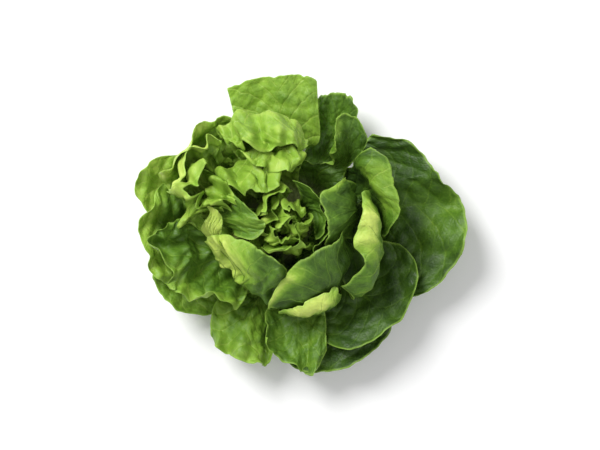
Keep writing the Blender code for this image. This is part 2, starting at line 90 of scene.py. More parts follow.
# How the family of surfaces runs from the heart (layer 0) to the lowest leaf (layer 1): where a leaf leaves
# the stem as a share of the stem's radius and height, the arc that it grows along before it is full length,
# the slope that it leaves the stem with, and the slope that it ends with on each side of the head.
Key = namedtuple("Key", "layer root_radius root_height arc root_slope open_slope closed_slope")
KEYS = (
    Key(0.00, 0.22, 1.00, 0.060, 80, 118, 128),
    Key(0.20, 0.50, 0.86, 0.080, 66, 112, 118),
    Key(0.40, 0.74, 0.68, 0.098, 50, 108, 118),
    Key(0.55, 0.87, 0.53, 0.112, 38, 106, 120),
    Key(0.62, 0.91, 0.47, 0.114, 33, 84, 118),
    Key(0.76, 0.98, 0.36, 0.122, 24, 68, 106),
    Key(0.86, 1.00, 0.27, 0.124, 6, 46, 60),
    Key(1.00, 1.00, 0.15, 0.132, -13, 28, 32),
)
OPEN_AZIMUTH = -25
ARC_STEPS = 24

# A leaf's rim is its length at five places from its clockwise edge to its other edge, as shares of the whole
# length. Ruffle, frill and pucker are depths in metres. Tone runs from 0, dark green, to 1, pale yellow. A
# blush makes part of a leaf lighter, partly a paler patch of the leaf's own colour and partly painted light,
# a lit rim or fold painted lighter than the face beside it: how much, the share of the length where it
# starts, and its place across the leaf and half width, as shares of the leaf's half width.
Leaf = namedtuple("Leaf", "name azimuth layer length half_angle rim ruffle tone frill pucker blush",
                  defaults=(0.002, 0.0012, (0, 0, 0, 1)))
ROUND = (0.62, 0.91, 1.00, 0.91, 0.62)
BROAD = (0.72, 0.97, 1.00, 0.97, 0.72)
SQUARE = (0.88, 1.00, 1.00, 1.00, 0.88)
FULL = (0.96, 1.00, 1.00, 1.00, 0.96)
OUTER_LEAVES = (
    Leaf("outer_leaf_01", 3, 0.985, 1.05, 44, FULL, 0.004, 0.12, 0.0006, 0.0006, (0.22, 0.75, -0.1, 0.35)),
    Leaf("outer_leaf_02", 164, 0.960, 0.94, 20, ROUND, 0.006, 0.80, 0.0015),
    Leaf("outer_leaf_03", -66, 0.945, 0.93, 30, BROAD, 0.004, 0.05, 0.0008, 0.0007),
    Leaf("outer_leaf_04", 63, 0.940, 0.84, 17, FULL, 0.003, 0.30, 0.001),
    Leaf("outer_leaf_05", -149, 0.935, 0.88, 23, (0.72, 0.97, 1.00, 0.90, 0.66), 0.006, 0.50, 0.0015),
    Leaf("outer_leaf_06", -44, 0.900, 0.90, 33, BROAD, 0.005, 0.12, 0.0010, 0.0008),
    Leaf("outer_leaf_07", -111, 0.905, 0.89, 22, FULL, 0.006, 0.48, 0.0012, 0.0012, (0.15, 0.9, 0, 1)),
    Leaf("outer_leaf_08", 96, 0.895, 0.93, 21, FULL, 0.002, 0.60, 0.0008, 0.0008),
    Leaf("outer_leaf_09", -174, 0.890, 0.95, 28, BROAD, 0.009, 0.42, 0.0015, 0.0012, (0.3, 0.85, 0, 1)),
    Leaf("outer_leaf_10", -84, 0.860, 0.97, 19, FULL, 0.004, 0.36, 0.0012),
    Leaf("outer_leaf_11", 142, 0.850, 0.96, 24, (0.78, 0.90, 1.00, 0.99, 0.84), 0.007, 0.62, 0.0015, 0.0012,
         (0.25, 0.88, 0, 1)),
)
WRAPPER_LEAVES = (
    Leaf("wrapper_leaf_01", 158, 0.780, 0.98, 28, FULL, 0.010, 0.62, 0.001, 0.0012, (0.25, 0.88, 0, 1)),
    Leaf("wrapper_leaf_02", 20, 0.775, 1.00, 38, FULL, 0.002, 0.12, 0.0006, 0.0007, (0.42, 0.74, 0, 1)),
    Leaf("wrapper_leaf_03", -143, 0.745, 0.98, 42, FULL, 0.009, 0.32, 0.001, 0.0012, (0.28, 0.88, 0.4, 0.9)),
    Leaf("wrapper_leaf_04", 108, 0.740, 1.00, 26, FULL, 0.009, 0.60, 0.001),
    Leaf("wrapper_leaf_05", -72, 0.700, 0.96, 34, FULL, 0.001, 0.30, 0.0005, 0.0007, (0.72, 0.87, 0, 1)),
    Leaf("wrapper_leaf_06", 56, 0.690, 0.98, 32, FULL, 0.002, 0.26, 0.0008, 0.0012, (0.25, 0.92, 0.5, 0.6)),
    Leaf("wrapper_leaf_07", -14, 0.665, 0.96, 36, FULL, 0.002, 0.25, 0.0010, 0.0006, (0.65, 0.84, 0.40, 0.6)),
    Leaf("wrapper_leaf_08", 168, 0.650, 1.00, 34, FULL, 0.009, 0.64, 0.001),
    Leaf("wrapper_leaf_09", 168, 0.595, 0.98, 38, FULL, 0.009, 0.60, 0.001),
    Leaf("wrapper_leaf_10", 106, 0.560, 1.00, 36, FULL, 0.007, 0.60, 0.001),
    Leaf("wrapper_leaf_11", -58, 0.545, 1.00, 46, FULL, 0.002, 0.08, 0.0005, 0.0006,
         (0.75, 0.92, -0.75, 0.6)),
    Leaf("wrapper_leaf_12", 10, 0.520, 1.00, 38, FULL, 0.001, 0.12, 0.0005, 0.0006, (0.50, 0.90, 0.9, 0.5)),
    Leaf("wrapper_leaf_13", 190, 0.490, 1.00, 9, FULL, 0, 0.95, 0.0001, 0.0003),
    Leaf("wrapper_leaf_14", -128, 0.445, 1.00, 34, FULL, 0.004, 0.10, 0.0008, 0.0008,
         (0.78, 0.52, -0.8, 1.1)),
    Leaf("wrapper_leaf_15", 122, 0.470, 1.00, 30, FULL, 0.006, 0.54, 0.001),
)
INNER_LEAVES = (
    Leaf("inner_leaf_01", 180, 0.400, 1.00, 26, FULL, 0.002, 0.30, 0.0008, 0.0008),
    Leaf("inner_leaf_02", -32, 0.360, 0.62, 46, BROAD, 0.005, 0.35),
    Leaf("inner_leaf_03", -165, 0.330, 0.58, 48, BROAD, 0.005, 0.55),
    Leaf("inner_leaf_04", 125, 0.300, 0.80, 40, BROAD, 0.005, 0.65),
    Leaf("inner_leaf_05", -85, 0.275, 0.78, 48, BROAD, 0.005, 0.55),
    Leaf("inner_leaf_06", 40, 0.245, 1.00, 36, FULL, 0.002, 0.28, 0.0008, 0.0008),
    Leaf("inner_leaf_07", 158, 0.220, 0.72, 50, BROAD, 0.005, 0.65),
)
HEART_LEAVES = (
    Leaf("heart_leaf_01", -130, 0.190, 0.80, 52, BROAD, 0.005, 0.62),
    Leaf("heart_leaf_02", -30, 0.160, 0.78, 54, BROAD, 0.005, 0.62),
    Leaf("heart_leaf_03", 75, 0.130, 0.80, 56, BROAD, 0.005, 0.62),
    Leaf("heart_leaf_04", -172, 0.100, 0.78, 56, BROAD, 0.005, 0.62),
    Leaf("heart_leaf_05", -75, 0.070, 0.78, 60, BROAD, 0.005, 0.62),
    Leaf("heart_leaf_06", 35, 0.036, 0.78, 64, BROAD, 0.005, 0.62),
    Leaf("heart_leaf_07", 150, 0.000, 0.76, 70, BROAD, 0.005, 0.62),
)
LEAVES = OUTER_LEAVES + WRAPPER_LEAVES + INNER_LEAVES + HEART_LEAVES

# Leaves whose upper part has a shape of its own: rows of places up to the rim, each from the leaf's clockwise
# edge to its other edge, as (x, y, z) in millimetres of the drawn head. Below them they follow the family.
FAMILY_SHARES = (0.0, 0.18, 0.36)
SHAPES = {
    "outer_leaf_01": (
        ((72, -46, 10), (80, -36, 10), (88, -22, 12), (91, -4, 14), (90, 12, 13),
         (84, 26, 17), (78, 36, 19), (70, 47, 19), (56, 57, 18)),
        ((92, -58, 20), (108, -48, 22), (120, -29, 26), (126, -5, 28), (122, 16, 21),
         (113, 33, 36), (102, 43, 34), (89, 58, 32), (65, 69, 28)),
        ((101, -66, 28), (124, -56, 34), (143, -34, 40), (150, -6, 44), (147, 18, 29),
         (131, 36, 50), (117, 48, 46), (101, 68, 42), (73, 77, 36)),
    ),
    "outer_leaf_04": (
        ((50, 62, 19), (42, 70, 17), (33, 76, 16), (24, 79, 14)),
        ((56, 76, 30), (49, 86, 28), (37, 92, 27), (25, 94, 25)),
        ((57, 86, 36), (55, 105, 35), (40, 109, 34), (25, 107, 31)),
    ),
    "outer_leaf_07": (
        ((-56, -62, 26), (-42, -70, 24), (-30, -74, 26), (-18, -76, 20), (-8, -78, 16)),
        ((-65, -84, 34), (-51, -93, 34), (-36, -98, 38), (-22, -100, 28), (-12, -99, 20)),
        ((-66, -100, 34), (-55, -109, 38), (-38, -117, 42), (-22, -121, 38), (-11, -112, 30)),
    ),
    "outer_leaf_08": (
        ((22, 64, 24), (10, 70, 25), (-4, 72, 25), (-18, 70, 25), (-34, 64, 24)),
        ((26, 90, 35), (10, 97, 37), (-8, 99, 38), (-27, 97, 37), (-46, 90, 34)),
        ((24, 122, 42), (8, 124, 45), (-10, 122, 46), (-31, 119, 44), (-52, 115, 40)),
    ),
    "outer_leaf_10": (
        ((-18, -73, 34), (-5, -78, 28), (8, -80, 28), (20, -78, 30), (30, -72, 30)),
        ((-20, -91, 46), (-5, -101, 36), (9, -105, 36), (21, -102, 38), (32, -94, 36)),
        ((-18, -99, 52), (-6, -113, 46), (10, -124, 40), (20, -128, 38), (33, -112, 38)),
    ),
    "wrapper_leaf_01": (
        ((-38, 42, 42), (-50, 42, 40), (-60, 34, 38), (-70, 24, 38), (-76, 12, 40)),
        ((-52, 56, 60), (-62, 54, 60), (-74, 46, 58), (-85, 34, 58), (-92, 20, 57)),
        ((-62, 68, 82), (-70, 65, 86), (-81, 55, 86), (-91, 42, 84), (-98, 29, 77)),
    ),
    "wrapper_leaf_02": (
        ((74, -7, 40), (72, 10, 45), (67, 26, 50), (60, 38, 53), (54, 46, 54)),
        ((80, -9, 58), (80, 12, 76), (75, 29, 82), (68, 44, 84), (60, 56, 80)),
        ((83, -14, 62), (89, 9, 80), (90, 27, 82), (84, 46, 84), (70, 63, 80)),
    ),
    "wrapper_leaf_03": (
        ((-60, -6, 44), (-62, -14, 38), (-58, -26, 36), (-50, -34, 36), (-38, -42, 34), (-26, -48, 34)),
        ((-80, 0, 56), (-85, -14, 52), (-80, -30, 50), (-68, -42, 46), (-52, -51, 44), (-34, -59, 43)),
        ((-104, 4, 72), (-110, -16, 76), (-103, -36, 76), (-90, -52, 72), (-69, -62, 66), (-42, -71, 58)),
    ),
    "wrapper_leaf_04": (
        ((16, 73, 58), (0, 82, 62), (-18, 87, 62), (-40, 86, 60), (-62, 78, 58)),
        ((15, 66, 78), (1, 73, 83), (-18, 76, 86), (-38, 77, 84), (-59, 73, 78)),
        ((12, 55, 87), (-2, 58, 91), (-18, 60, 93), (-36, 62, 91), (-53, 66, 85)),
    ),
    "wrapper_leaf_05": (
        ((-8, -66, 38), (6, -70, 40), (18, -69, 42), (33, -63, 44), (44, -55, 46)),
        ((-8, -75, 58), (6, -76, 63), (19, -72.5, 66), (35, -66, 70), (43, -58, 72)),
        ((-8, -73, 62), (4, -71, 66), (15, -64.5, 70), (31, -56, 73), (41, -52, 74)),
    ),
    "wrapper_leaf_06": (
        ((46, 38, 46), (46, 44, 46), (43, 48, 48), (38, 50, 49), (32, 50, 49)),
        ((57, 52, 64), (56, 60, 66), (50, 65, 70), (42, 62, 72), (34, 56, 72)),
        ((64, 64, 74), (60, 78, 80), (47, 88, 85), (38, 72, 88), (36, 60, 86)),
    ),
    "wrapper_leaf_07": (
        ((50, -58, 44), (57, -50, 44), (63, -42, 46), (66, -32, 48), (68, -22, 48),
         (69, -12, 50), (68, -2, 50), (66, 8, 50), (62, 18, 50)),
        ((52, -62, 62), (60, -58, 68), (68, -47, 76), (70, -33, 82), (72, -21, 84),
         (72, -9, 86), (69, 3, 88), (67, 13, 87), (64, 24, 84)),
        ((41, -52, 72), (51, -47, 77), (60, -38, 83), (62, -30, 87), (56, -22, 88),
         (54.5, -11, 90), (57, 0, 92), (58.5, 9, 91), (58, 20, 87)),
    ),
    "wrapper_leaf_08": (
        ((-70, 44, 62), (-82, 32, 64), (-86, 20, 64), (-86, 8, 64), (-80, -2, 60)),
        ((-66, 43, 80), (-78, 34, 82), (-80, 24, 84), (-79, 15, 83), (-75, 8, 79)),
        ((-60, 38, 88), (-71, 33, 90), (-74, 27, 92), (-73, 20, 92), (-71, 14, 88)),
    ),
    "wrapper_leaf_09": (
        ((-62, 38, 62), (-69, 27, 64), (-74, 14, 64), (-76, 6, 62), (-76, 0, 60)),
        ((-53, 35, 82), (-55, 23, 86), (-60, 14, 86), (-63, 9, 84), (-66, 5, 80)),
        ((-45, 31, 88), (-41, 20, 94), (-47, 13, 93), (-53, 9, 91), (-58, 7, 88)),
    ),
    "wrapper_leaf_10": (
        ((14, 50, 62), (2, 57, 66), (-14, 62, 68), (-28, 63, 68), (-42, 59, 64)),
        ((11, 44, 83), (0, 47, 89), (-14, 51, 93), (-28, 56, 93), (-41, 56, 87)),
        ((6, 34, 90), (-4, 38, 93), (-16, 44, 95), (-28, 50, 95), (-39, 52, 91)),
    ),
    "wrapper_leaf_11": (
        ((-6, -66, 48), (16, -68, 54), (37, -57, 58), (48, -39, 62), (49, -17, 64)),
        ((-13, -71, 63), (9, -59, 75), (28, -45, 83), (41, -31, 86), (47, -12, 80)),
        ((-17, -73, 70), (-3, -45, 84), (18, -28, 92), (33, -17, 95), (46, -6, 87)),
    ),
    "wrapper_leaf_12": (
        ((50, -14, 58), (55, -2, 62), (55, 8, 64), (52, 20, 64), (51, 29, 64)),
        ((41, -16, 80), (43, -3, 88), (43, 9, 91), (42, 23, 91), (51, 33, 84)),
        ((30, -18, 88), (30, -2, 97), (29, 11, 99), (29, 24, 97), (48, 37, 87)),
    ),
    "wrapper_leaf_13": (
        ((-48, -13.5, 72), (-56, -15, 70), (-64, -17, 66)),
        ((-53, -6, 83), (-61, -4, 82), (-67, -4, 80)),
        ((-67.5, 9, 90), (-68.5, 9.5, 90), (-69.5, 8, 89)),
    ),
    "wrapper_leaf_14": (
        ((-57, -32, 53), (-48, -40, 58), (-37, -48, 60), (-21, -63, 60), (-8, -64, 58)),
        ((-64, -27, 64), (-50, -29, 75), (-35, -34, 82), (-18, -44, 84), (-4, -54, 76)),
        ((-72, -20, 69), (-53, -15, 81), (-32, -12, 90), (-14, -24, 93), (-2, -38, 88)),
    ),
    "wrapper_leaf_15": (
        ((-6, 44, 66), (-16, 50, 68), (-30, 52, 68), (-44, 48, 66), (-56, 38, 62)),
        ((-4, 36, 88), (-14, 38, 91), (-26, 40, 91), (-40, 38, 90), (-49, 30, 83)),
        ((-2, 27, 93), (-12, 27, 96), (-22, 28, 96), (-34, 26, 96), (-41, 22, 90)),
    ),
    "inner_leaf_01": (
        ((-58, 20, 62), (-56, 10, 64), (-53, 2, 66), (-48, -2.5, 66), (-40, -4.5, 64)),
        ((-49, 21, 82), (-43, 13, 88), (-38, 5, 90), (-34, -2, 88), (-34, -9, 83)),
        ((-40, 22, 89), (-31, 15, 94), (-25, 7, 95), (-22, -1, 94), (-23, -8, 89)),
    ),
    "inner_leaf_06": (
        ((23, -7, 74), (25, 3, 76), (24, 13, 77), (20, 21, 78), (9, 27, 78)),
        ((26, -13, 84), (28.5, 0, 91), (28, 12, 95), (25, 23, 96), (7, 32, 92)),
    ),
}

# How much a leaf narrows between its foot and its blade, and the share of its length where that ends.
WAIST = 0.26
WAIST_ENDS = 0.72
SHAPED_WAIST = 0.6

# The midrib's half width as a share of the leaf's, how much wider it spreads at the stem, and where it ends.
RIB_HALF_WIDTH = 0.10
RIB_SPREAD = 1.7
RIB_ENDS = 0.9

# Room to ruffle in, in layers, and how wide a stretch of the leaf beside a place counts.
ROOM_SHARE = 0.85
ROOM_MARGIN = 10
ROOM_OFFSETS = (-6, -3, 0, 3, 6)
MOST_ROOM = 0.08
HEART_ROOM = 0.03
FLOOR_ROOM = 0.02
ROOM_STEP = 0.004

# Secondary veins: how many leave each side of the midrib, how steeply they run to the margin, how they bow,
# and how a vein thins to its end and towards the leaf's rim. Then how far the blade rises over them and over
# the midrib.
VEIN_PAIRS = 7
VEIN_RISE = 0.42
VEIN_BOW = (1.15, 0.3)
VEIN_THINNING = 0.75
VEIN_SIZES = (1.15, 0.6)
VEIN_GROOVE = 0.0006
MIDRIB_GROOVE = 0.0010

# The half width of a leaf whose veins have their full size.
FULL_WIDTH = 0.030

# Waves in a leaf: notches in its rim and broad ruffles, as half waves across it, and frills, in metres.
NOTCHES = (3.1, 5.3, 8.9, 14.3)
NOTCH_DEPTH = 0.035
RUFFLES = (1.1, 2.3, 3.7)
FRILLS = (0.037, 0.024, 0.016)
FRILL_REACH = 0.012

# Blisters between the veins: the size of a cell and its share of the depth.
BLISTERS = ((0.017, 0.6), (0.008, 0.4))
CELL_JITTER = 0.42
CELL_SLOPE = 0.7

# Creases that cross a leaf: how far apart they lie and their share of the depth, how far they bend, and over
# what length. Then their depth as a share of the leaf's ruffle, and how much tone is painted on as painted
# highlight on their crests and painted shade in their valleys.
CREASES = ((0.034, 0.42), (0.020, 0.33), (0.012, 0.25))
CREASE_BEND = 0.9
CREASE_BEND_LENGTH = 0.6
CREASE_SHARE = 0.6
CREST_HIGHLIGHT_AND_VALLEY_SHADE = 0.10

# A draw of a wave's phase, in radians.
FULL_TURN = 6.28

# Shears that crumple the head above its stem. Each moves points along one axis (0 is x and 1 is y) by a wave
# across the other, of this length across and upwards, and from this phase, so no two leaves can cross. The
# broad ones reach the whole head, most where it is closed, and the fine ones only its heart. A leaf with a
# shape of its own takes only a share of the fine ones.
CRUMPLE_STARTS = STEM_HEIGHT + 0.002
CRUMPLE_GROWS = 0.030
BROAD_SHEARS = ((0, 1, 0.0085, 0.012, 0.0), (1, 0, 0.0095, -0.014, 1.3))
BROAD_DEPTH, CLOSED_DEPTH = 0.002, 0.003
FINE_SHEARS = ((0, 1, 0.0031, 0.0052, 0.6), (1, 0, 0.0034, -0.0047, 2.1))
FINE_DEPTH = 0.0028
HEART_RADIUS = 0.030
HEART_LIFT = 0.0035
HEART_LENGTHS, HEART_PHASE = (0.0037, 0.0033), 1.1
SHAPED_SHARE = 0.15
CLOSED_EDGE, CLOSED_GROWS = 0.012, 0.045
FOLD_LIFT = 0.0065
FOLDS_START, FOLDS_GROW, FOLDS_RISE = 0.030, 0.030, 0.020
FOLD_SEED = 11
SWELL = 0.002
SWELL_STARTS = 0.050
SWELL_GROWS = 0.050
SWELL_LENGTHS, SWELL_PHASE = (0.014, 0.012), 0.7

# The stem's foot: its bevel as a share of the cut, its flutes (depth as a share of the radius, number round
# the stem, phase), and the scars that leaves left, which follow each other at the golden angle.
STEM_BEVEL = 0.05
FLUTES = ((0.02, 5, 0.6), (0.012, 13, 0.0))
GOLDEN_ANGLE = math.radians(137.5)
SCAR_DEPTH = 0.16
SCAR_HEIGHT = 0.34
SCAR_OFFSET = 0.0014
SCAR_LOWEST, SCAR_HIGHEST = 0.0022, 0.0052

# The point that the lamps and the camera look at, and each lamp's name, place and diameter.
HEAD_MIDDLE = Vector((0.010, -0.0025, 0.05))
LAMPS = (("key", (-0.75, 0.85, 1.35), 0.9), ("fill", (0.6, -0.5, 1.9), 2.2))


def ease(x):
    """A smooth step from 0 to 1."""
    x = np.clip(x, 0, 1)
    return x * x * (3 - 2 * x)


def key_values(name, layer):
    """The named column of KEYS at these layers."""
    layers = [key.layer for key in KEYS]
    return np.interp(layer, layers, [getattr(key, name) for key in KEYS])


def closedness(azimuth):
    """0 where the head has opened and 1 where its leaves still wrap over the heart."""
    return 0.5 - 0.5 * np.cos(np.radians(azimuth - OPEN_AZIMUTH))


def slope_of(layer, azimuth, arc):
    """The slope of the family's surface, in radians, this far along its arc."""
    closed = closedness(azimuth)
    root = key_values("root_slope", layer)
    tip = key_values("open_slope", layer) * (1 - closed) + key_values("closed_slope", layer) * closed
    return np.radians(root + (tip - root) * ease(arc / key_values("arc", layer)))


def family_point(layer, azimuth, arc):
    """Points of the family: out from the stem along the arc, in the upright plane at the azimuth."""
    out, up = np.zeros_like(arc), np.zeros_like(arc)
    for step in range(ARC_STEPS):
        slope = slope_of(layer, azimuth, arc * (step + 0.5) / ARC_STEPS)
        out += np.cos(slope) * arc / ARC_STEPS
        up += np.sin(slope) * arc / ARC_STEPS
    radius = key_values("root_radius", layer) * STEM_DIAMETER / 2 + ROOT_GAP + out * WIDER
    height = key_values("root_height", layer) * STEM_HEIGHT + up * np.where(up > 0, TALLER, 1)
    turn = np.radians(azimuth)
    return np.stack([radius * np.cos(turn), radius * np.sin(turn), height], axis=-1)


def spline(places, values, at):
    """A smooth curve through the values at these places, read at others."""
    gaps = np.diff(places)
    system, known = np.eye(len(places)), np.zeros(values.shape)
    for i in range(1, len(places) - 1):
        system[i, i - 1 : i + 2] = gaps[i - 1], 2 * (gaps[i - 1] + gaps[i]), gaps[i]
        known[i] = 6 * ((values[i + 1] - values[i]) / gaps[i] - (values[i] - values[i - 1]) / gaps[i - 1])
    bend = np.linalg.solve(system, known.reshape(len(places), -1)).reshape(values.shape)
    i = np.clip(np.searchsorted(places, at) - 1, 0, len(places) - 2)
    shape = (-1,) + (1,) * (values.ndim - 1)
    gap = gaps[i].reshape(shape)
    b = (at.reshape(shape) - np.asarray(places)[i].reshape(shape)) / gap
    a = 1 - b
    cubic = ((a**3 - a) * bend[i] + (b**3 - b) * bend[i + 1]) * gap**2 / 6
    return a * values[i] + b * values[i + 1] + cubic


def shaped_face(leaf, across_line, along_line, rim):
    """The face of a leaf that has a shape of its own, from its root on the stem to its rim."""
    rows = np.array(SHAPES[leaf.name], dtype=float) / 1000
    columns = np.linspace(-1, 1, rows.shape[1])
    radius = np.hypot(rows[..., 0], rows[..., 1])
    drawn_root = key_values("root_radius", leaf.layer) * DRAWN_STEM_DIAMETER / 2
    root = key_values("root_radius", leaf.layer) * STEM_DIAMETER / 2
    rows[..., :2] *= ((root + (radius - drawn_root) * WIDER) / radius)[..., None]
    drawn_root = key_values("root_height", leaf.layer) * DRAWN_STEM_HEIGHT
    root = key_values("root_height", leaf.layer) * STEM_HEIGHT
    rows[..., 2] = root + (rows[..., 2] - drawn_root) * TALLER
    shares = np.array(FAMILY_SHARES)[:, None] + 0 * columns
    azimuth = leaf.azimuth + leaf.half_angle * (1 - SHAPED_WAIST * shares) * columns
    low = family_point(np.full_like(shares, leaf.layer), azimuth, shares * key_values("arc", leaf.layer))
    rows = np.concatenate([low, rows])
    steps = np.linalg.norm(np.diff(rows, axis=0), axis=-1).mean(axis=1)
    places = np.concatenate([[0], np.cumsum(steps)]) / steps.sum()
    lines = spline(columns, rows.transpose(1, 0, 2), across_line)
    face = np.empty(across_line.shape + along_line.shape + (3,))
    for i, line in enumerate(lines):
        face[i] = spline(places, line, along_line * min(1, rim[i, 0]))
    return face


def crumple(points, fine=1):
    """Bends the head clear of its stem, most where it is closed, and more finely at its heart."""
    place = [points[..., i].copy() for i in range(3)]
    x, y, z = place
    above = WIDER * ease((z - CRUMPLE_STARTS) / (CRUMPLE_GROWS * TALLER))
    turn = math.radians(OPEN_AZIMUTH)
    shut = ease((CLOSED_EDGE - x * math.cos(turn) - y * math.sin(turn)) / CLOSED_GROWS)
    near = fine * above * np.exp(-((x**2 + y**2) / HEART_RADIUS**2))
    broad = (BROAD_DEPTH + CLOSED_DEPTH * shut) * above
    for shears, depth in ((BROAD_SHEARS, broad), (FINE_SHEARS, FINE_DEPTH * near)):
        for moved, other, across, upwards, phase in shears:
            place[moved] += depth * np.sin(place[other] / across + z / upwards + phase)
    z += HEART_LIFT * near * np.sin(x / HEART_LENGTHS[0] + HEART_PHASE) * np.sin(y / HEART_LENGTHS[1])
    far = ease((np.hypot(x, y) / WIDER - FOLDS_START) / FOLDS_GROW) * ease((z - CRUMPLE_STARTS) / FOLDS_RISE)
    z += FOLD_LIFT * shut * far * folds(x, y, np.random.default_rng(FOLD_SEED))
    swell = SWELL * TALLER * ease((np.hypot(x, y) / WIDER - SWELL_STARTS) / SWELL_GROWS)
    across, upward = (length * WIDER for length in SWELL_LENGTHS)
    z += swell * (1 + np.sin(x / across + SWELL_PHASE) * np.sin(y / upward))
    return np.stack([x, y, z], axis=-1)


def folds(x, y, draw):
    """Soft creases that cross a leaf at every angle, from -1 to 1."""
    total = np.zeros_like(x)
    for length, share in CREASES:
        angle = draw.uniform(0, math.pi)
        phase, bend = draw.uniform(0, FULL_TURN), draw.uniform(0, FULL_TURN)
        along, other = x * math.cos(angle) + y * math.sin(angle), y * math.cos(angle) - x * math.sin(angle)
        bent = CREASE_BEND * np.sin(other / (CREASE_BEND_LENGTH * length) + bend)
        total += share * (1 - 2 * np.abs(np.sin(math.pi * along / length + bent + phase)))
    return total


def apart(a, b):
    """The angle between two azimuths."""
    return abs((a - b + 180) % 360 - 180)


def room(leaf, azimuth):
    """How far the leaf can shift towards the heart, and away from it, at these azimuths, in layers."""
    sums = [0, 0]
    for offset in ROOM_OFFSETS:
        free = [
            np.full(np.shape(azimuth), min(MOST_ROOM, leaf.layer + HEART_ROOM)),
            np.full(np.shape(azimuth), min(MOST_ROOM, 1 + FLOOR_ROOM - leaf.layer)),
        ]
        for other in LEAVES:
            if other is leaf:
                continue
            meets = apart(azimuth + offset, other.azimuth) < other.half_angle + ROOM_MARGIN
            side = 0 if other.layer < leaf.layer else 1
            halfway = abs(other.layer - leaf.layer) / 2
            free[side] = np.where(meets, np.minimum(free[side], halfway), free[side])
        sums = [total + value / len(ROOM_OFFSETS) for total, value in zip(sums, free)]
    return sums


def cell_pillows(x, y, cell, draw):
    """Blisters: 0 along the net of fine veins and 1 on each blister, on a net of irregular cells."""
    columns = np.arange(math.floor(x.min() / cell) - 1, math.ceil(x.max() / cell) + 2)
    rows = np.arange(math.floor(y.min() / cell) - 1, math.ceil(y.max() / cell) + 2)
    seeds = np.stack(np.meshgrid(columns, rows), axis=-1).reshape(-1, 2) * cell
    seeds = seeds + draw.uniform(-CELL_JITTER, CELL_JITTER, seeds.shape) * cell
    nearest = np.full(x.shape, 9.0)
    second = np.full(x.shape, 9.0)
    for seed_x, seed_y in seeds:
        distance = np.hypot(x - seed_x, y - seed_y)
        second = np.minimum(second, np.maximum(distance, nearest))
        nearest = np.minimum(nearest, distance)
    return ease((second - nearest) / (CELL_SLOPE * cell))


def vein_climb(across):
    """How far up the leaf a secondary vein has risen, this far from the midrib."""
    return VEIN_RISE * across * (VEIN_BOW[0] - VEIN_BOW[1] * across)


def vein_phase(across, along):
    """Counts up by one from each secondary vein to the next. The veins of the two sides alternate."""
    return VEIN_PAIRS * (along - vein_climb(np.abs(across))) + np.where(across > 0, 0.5, 0.0)


def crowded(low, steps):
    """Places from low to 1, closer together towards the rim."""
    evenly = np.linspace(low, 1, steps + 1)
    return 0.7 * evenly + 0.3 * np.sin(evenly * math.pi / 2)


def waves(draw, angles, fades, least, lean=0):
    """Waves of random height, at least this much of the full one, and random phase, added up."""
    return sum(
        draw.uniform(least, 1.0) / fade * np.sin(angle + draw.uniform(0, FULL_TURN) + lean)
        for angle, fade in zip(angles, fades)
    )


def blade_lift(leaf, draw, across, along, x, y, edge):
    """How far the face stands out from the family's surface, in metres, and its blisters."""
    ruffles = [count * math.pi * across for count in RUFFLES]
    ruffled = waves(draw, ruffles, [count**0.35 for count in RUFFLES], 0.5, 1.5 * along)
    lift = leaf.ruffle * np.tanh(ruffled) * along**1.4
    frills = waves(draw, [2 * math.pi * x / length for length in FRILLS], [1] * len(FRILLS), 0.4, 4 * along)
    lift += leaf.frill * frills * np.exp(-edge / FRILL_REACH)
    blisters = sum(share * cell_pillows(x, y, cell, draw) for cell, share in BLISTERS)
    clear = ease(along / 0.25) * ease(np.abs(across) / 0.12)
    lift -= leaf.pucker * clear * (blisters - 0.5) * 2
    phase = vein_phase(across, along)
    valley = np.exp(-(((phase - np.round(phase)) / 0.10) ** 2))
    lift += VEIN_GROOVE * clear * valley * ease((0.95 - along) / 0.1)
    lift += MIDRIB_GROOVE * np.exp(-((across / 0.05) ** 2)) * ease(along / 0.2) * ease((0.95 - along) / 0.3)
    return lift, blisters


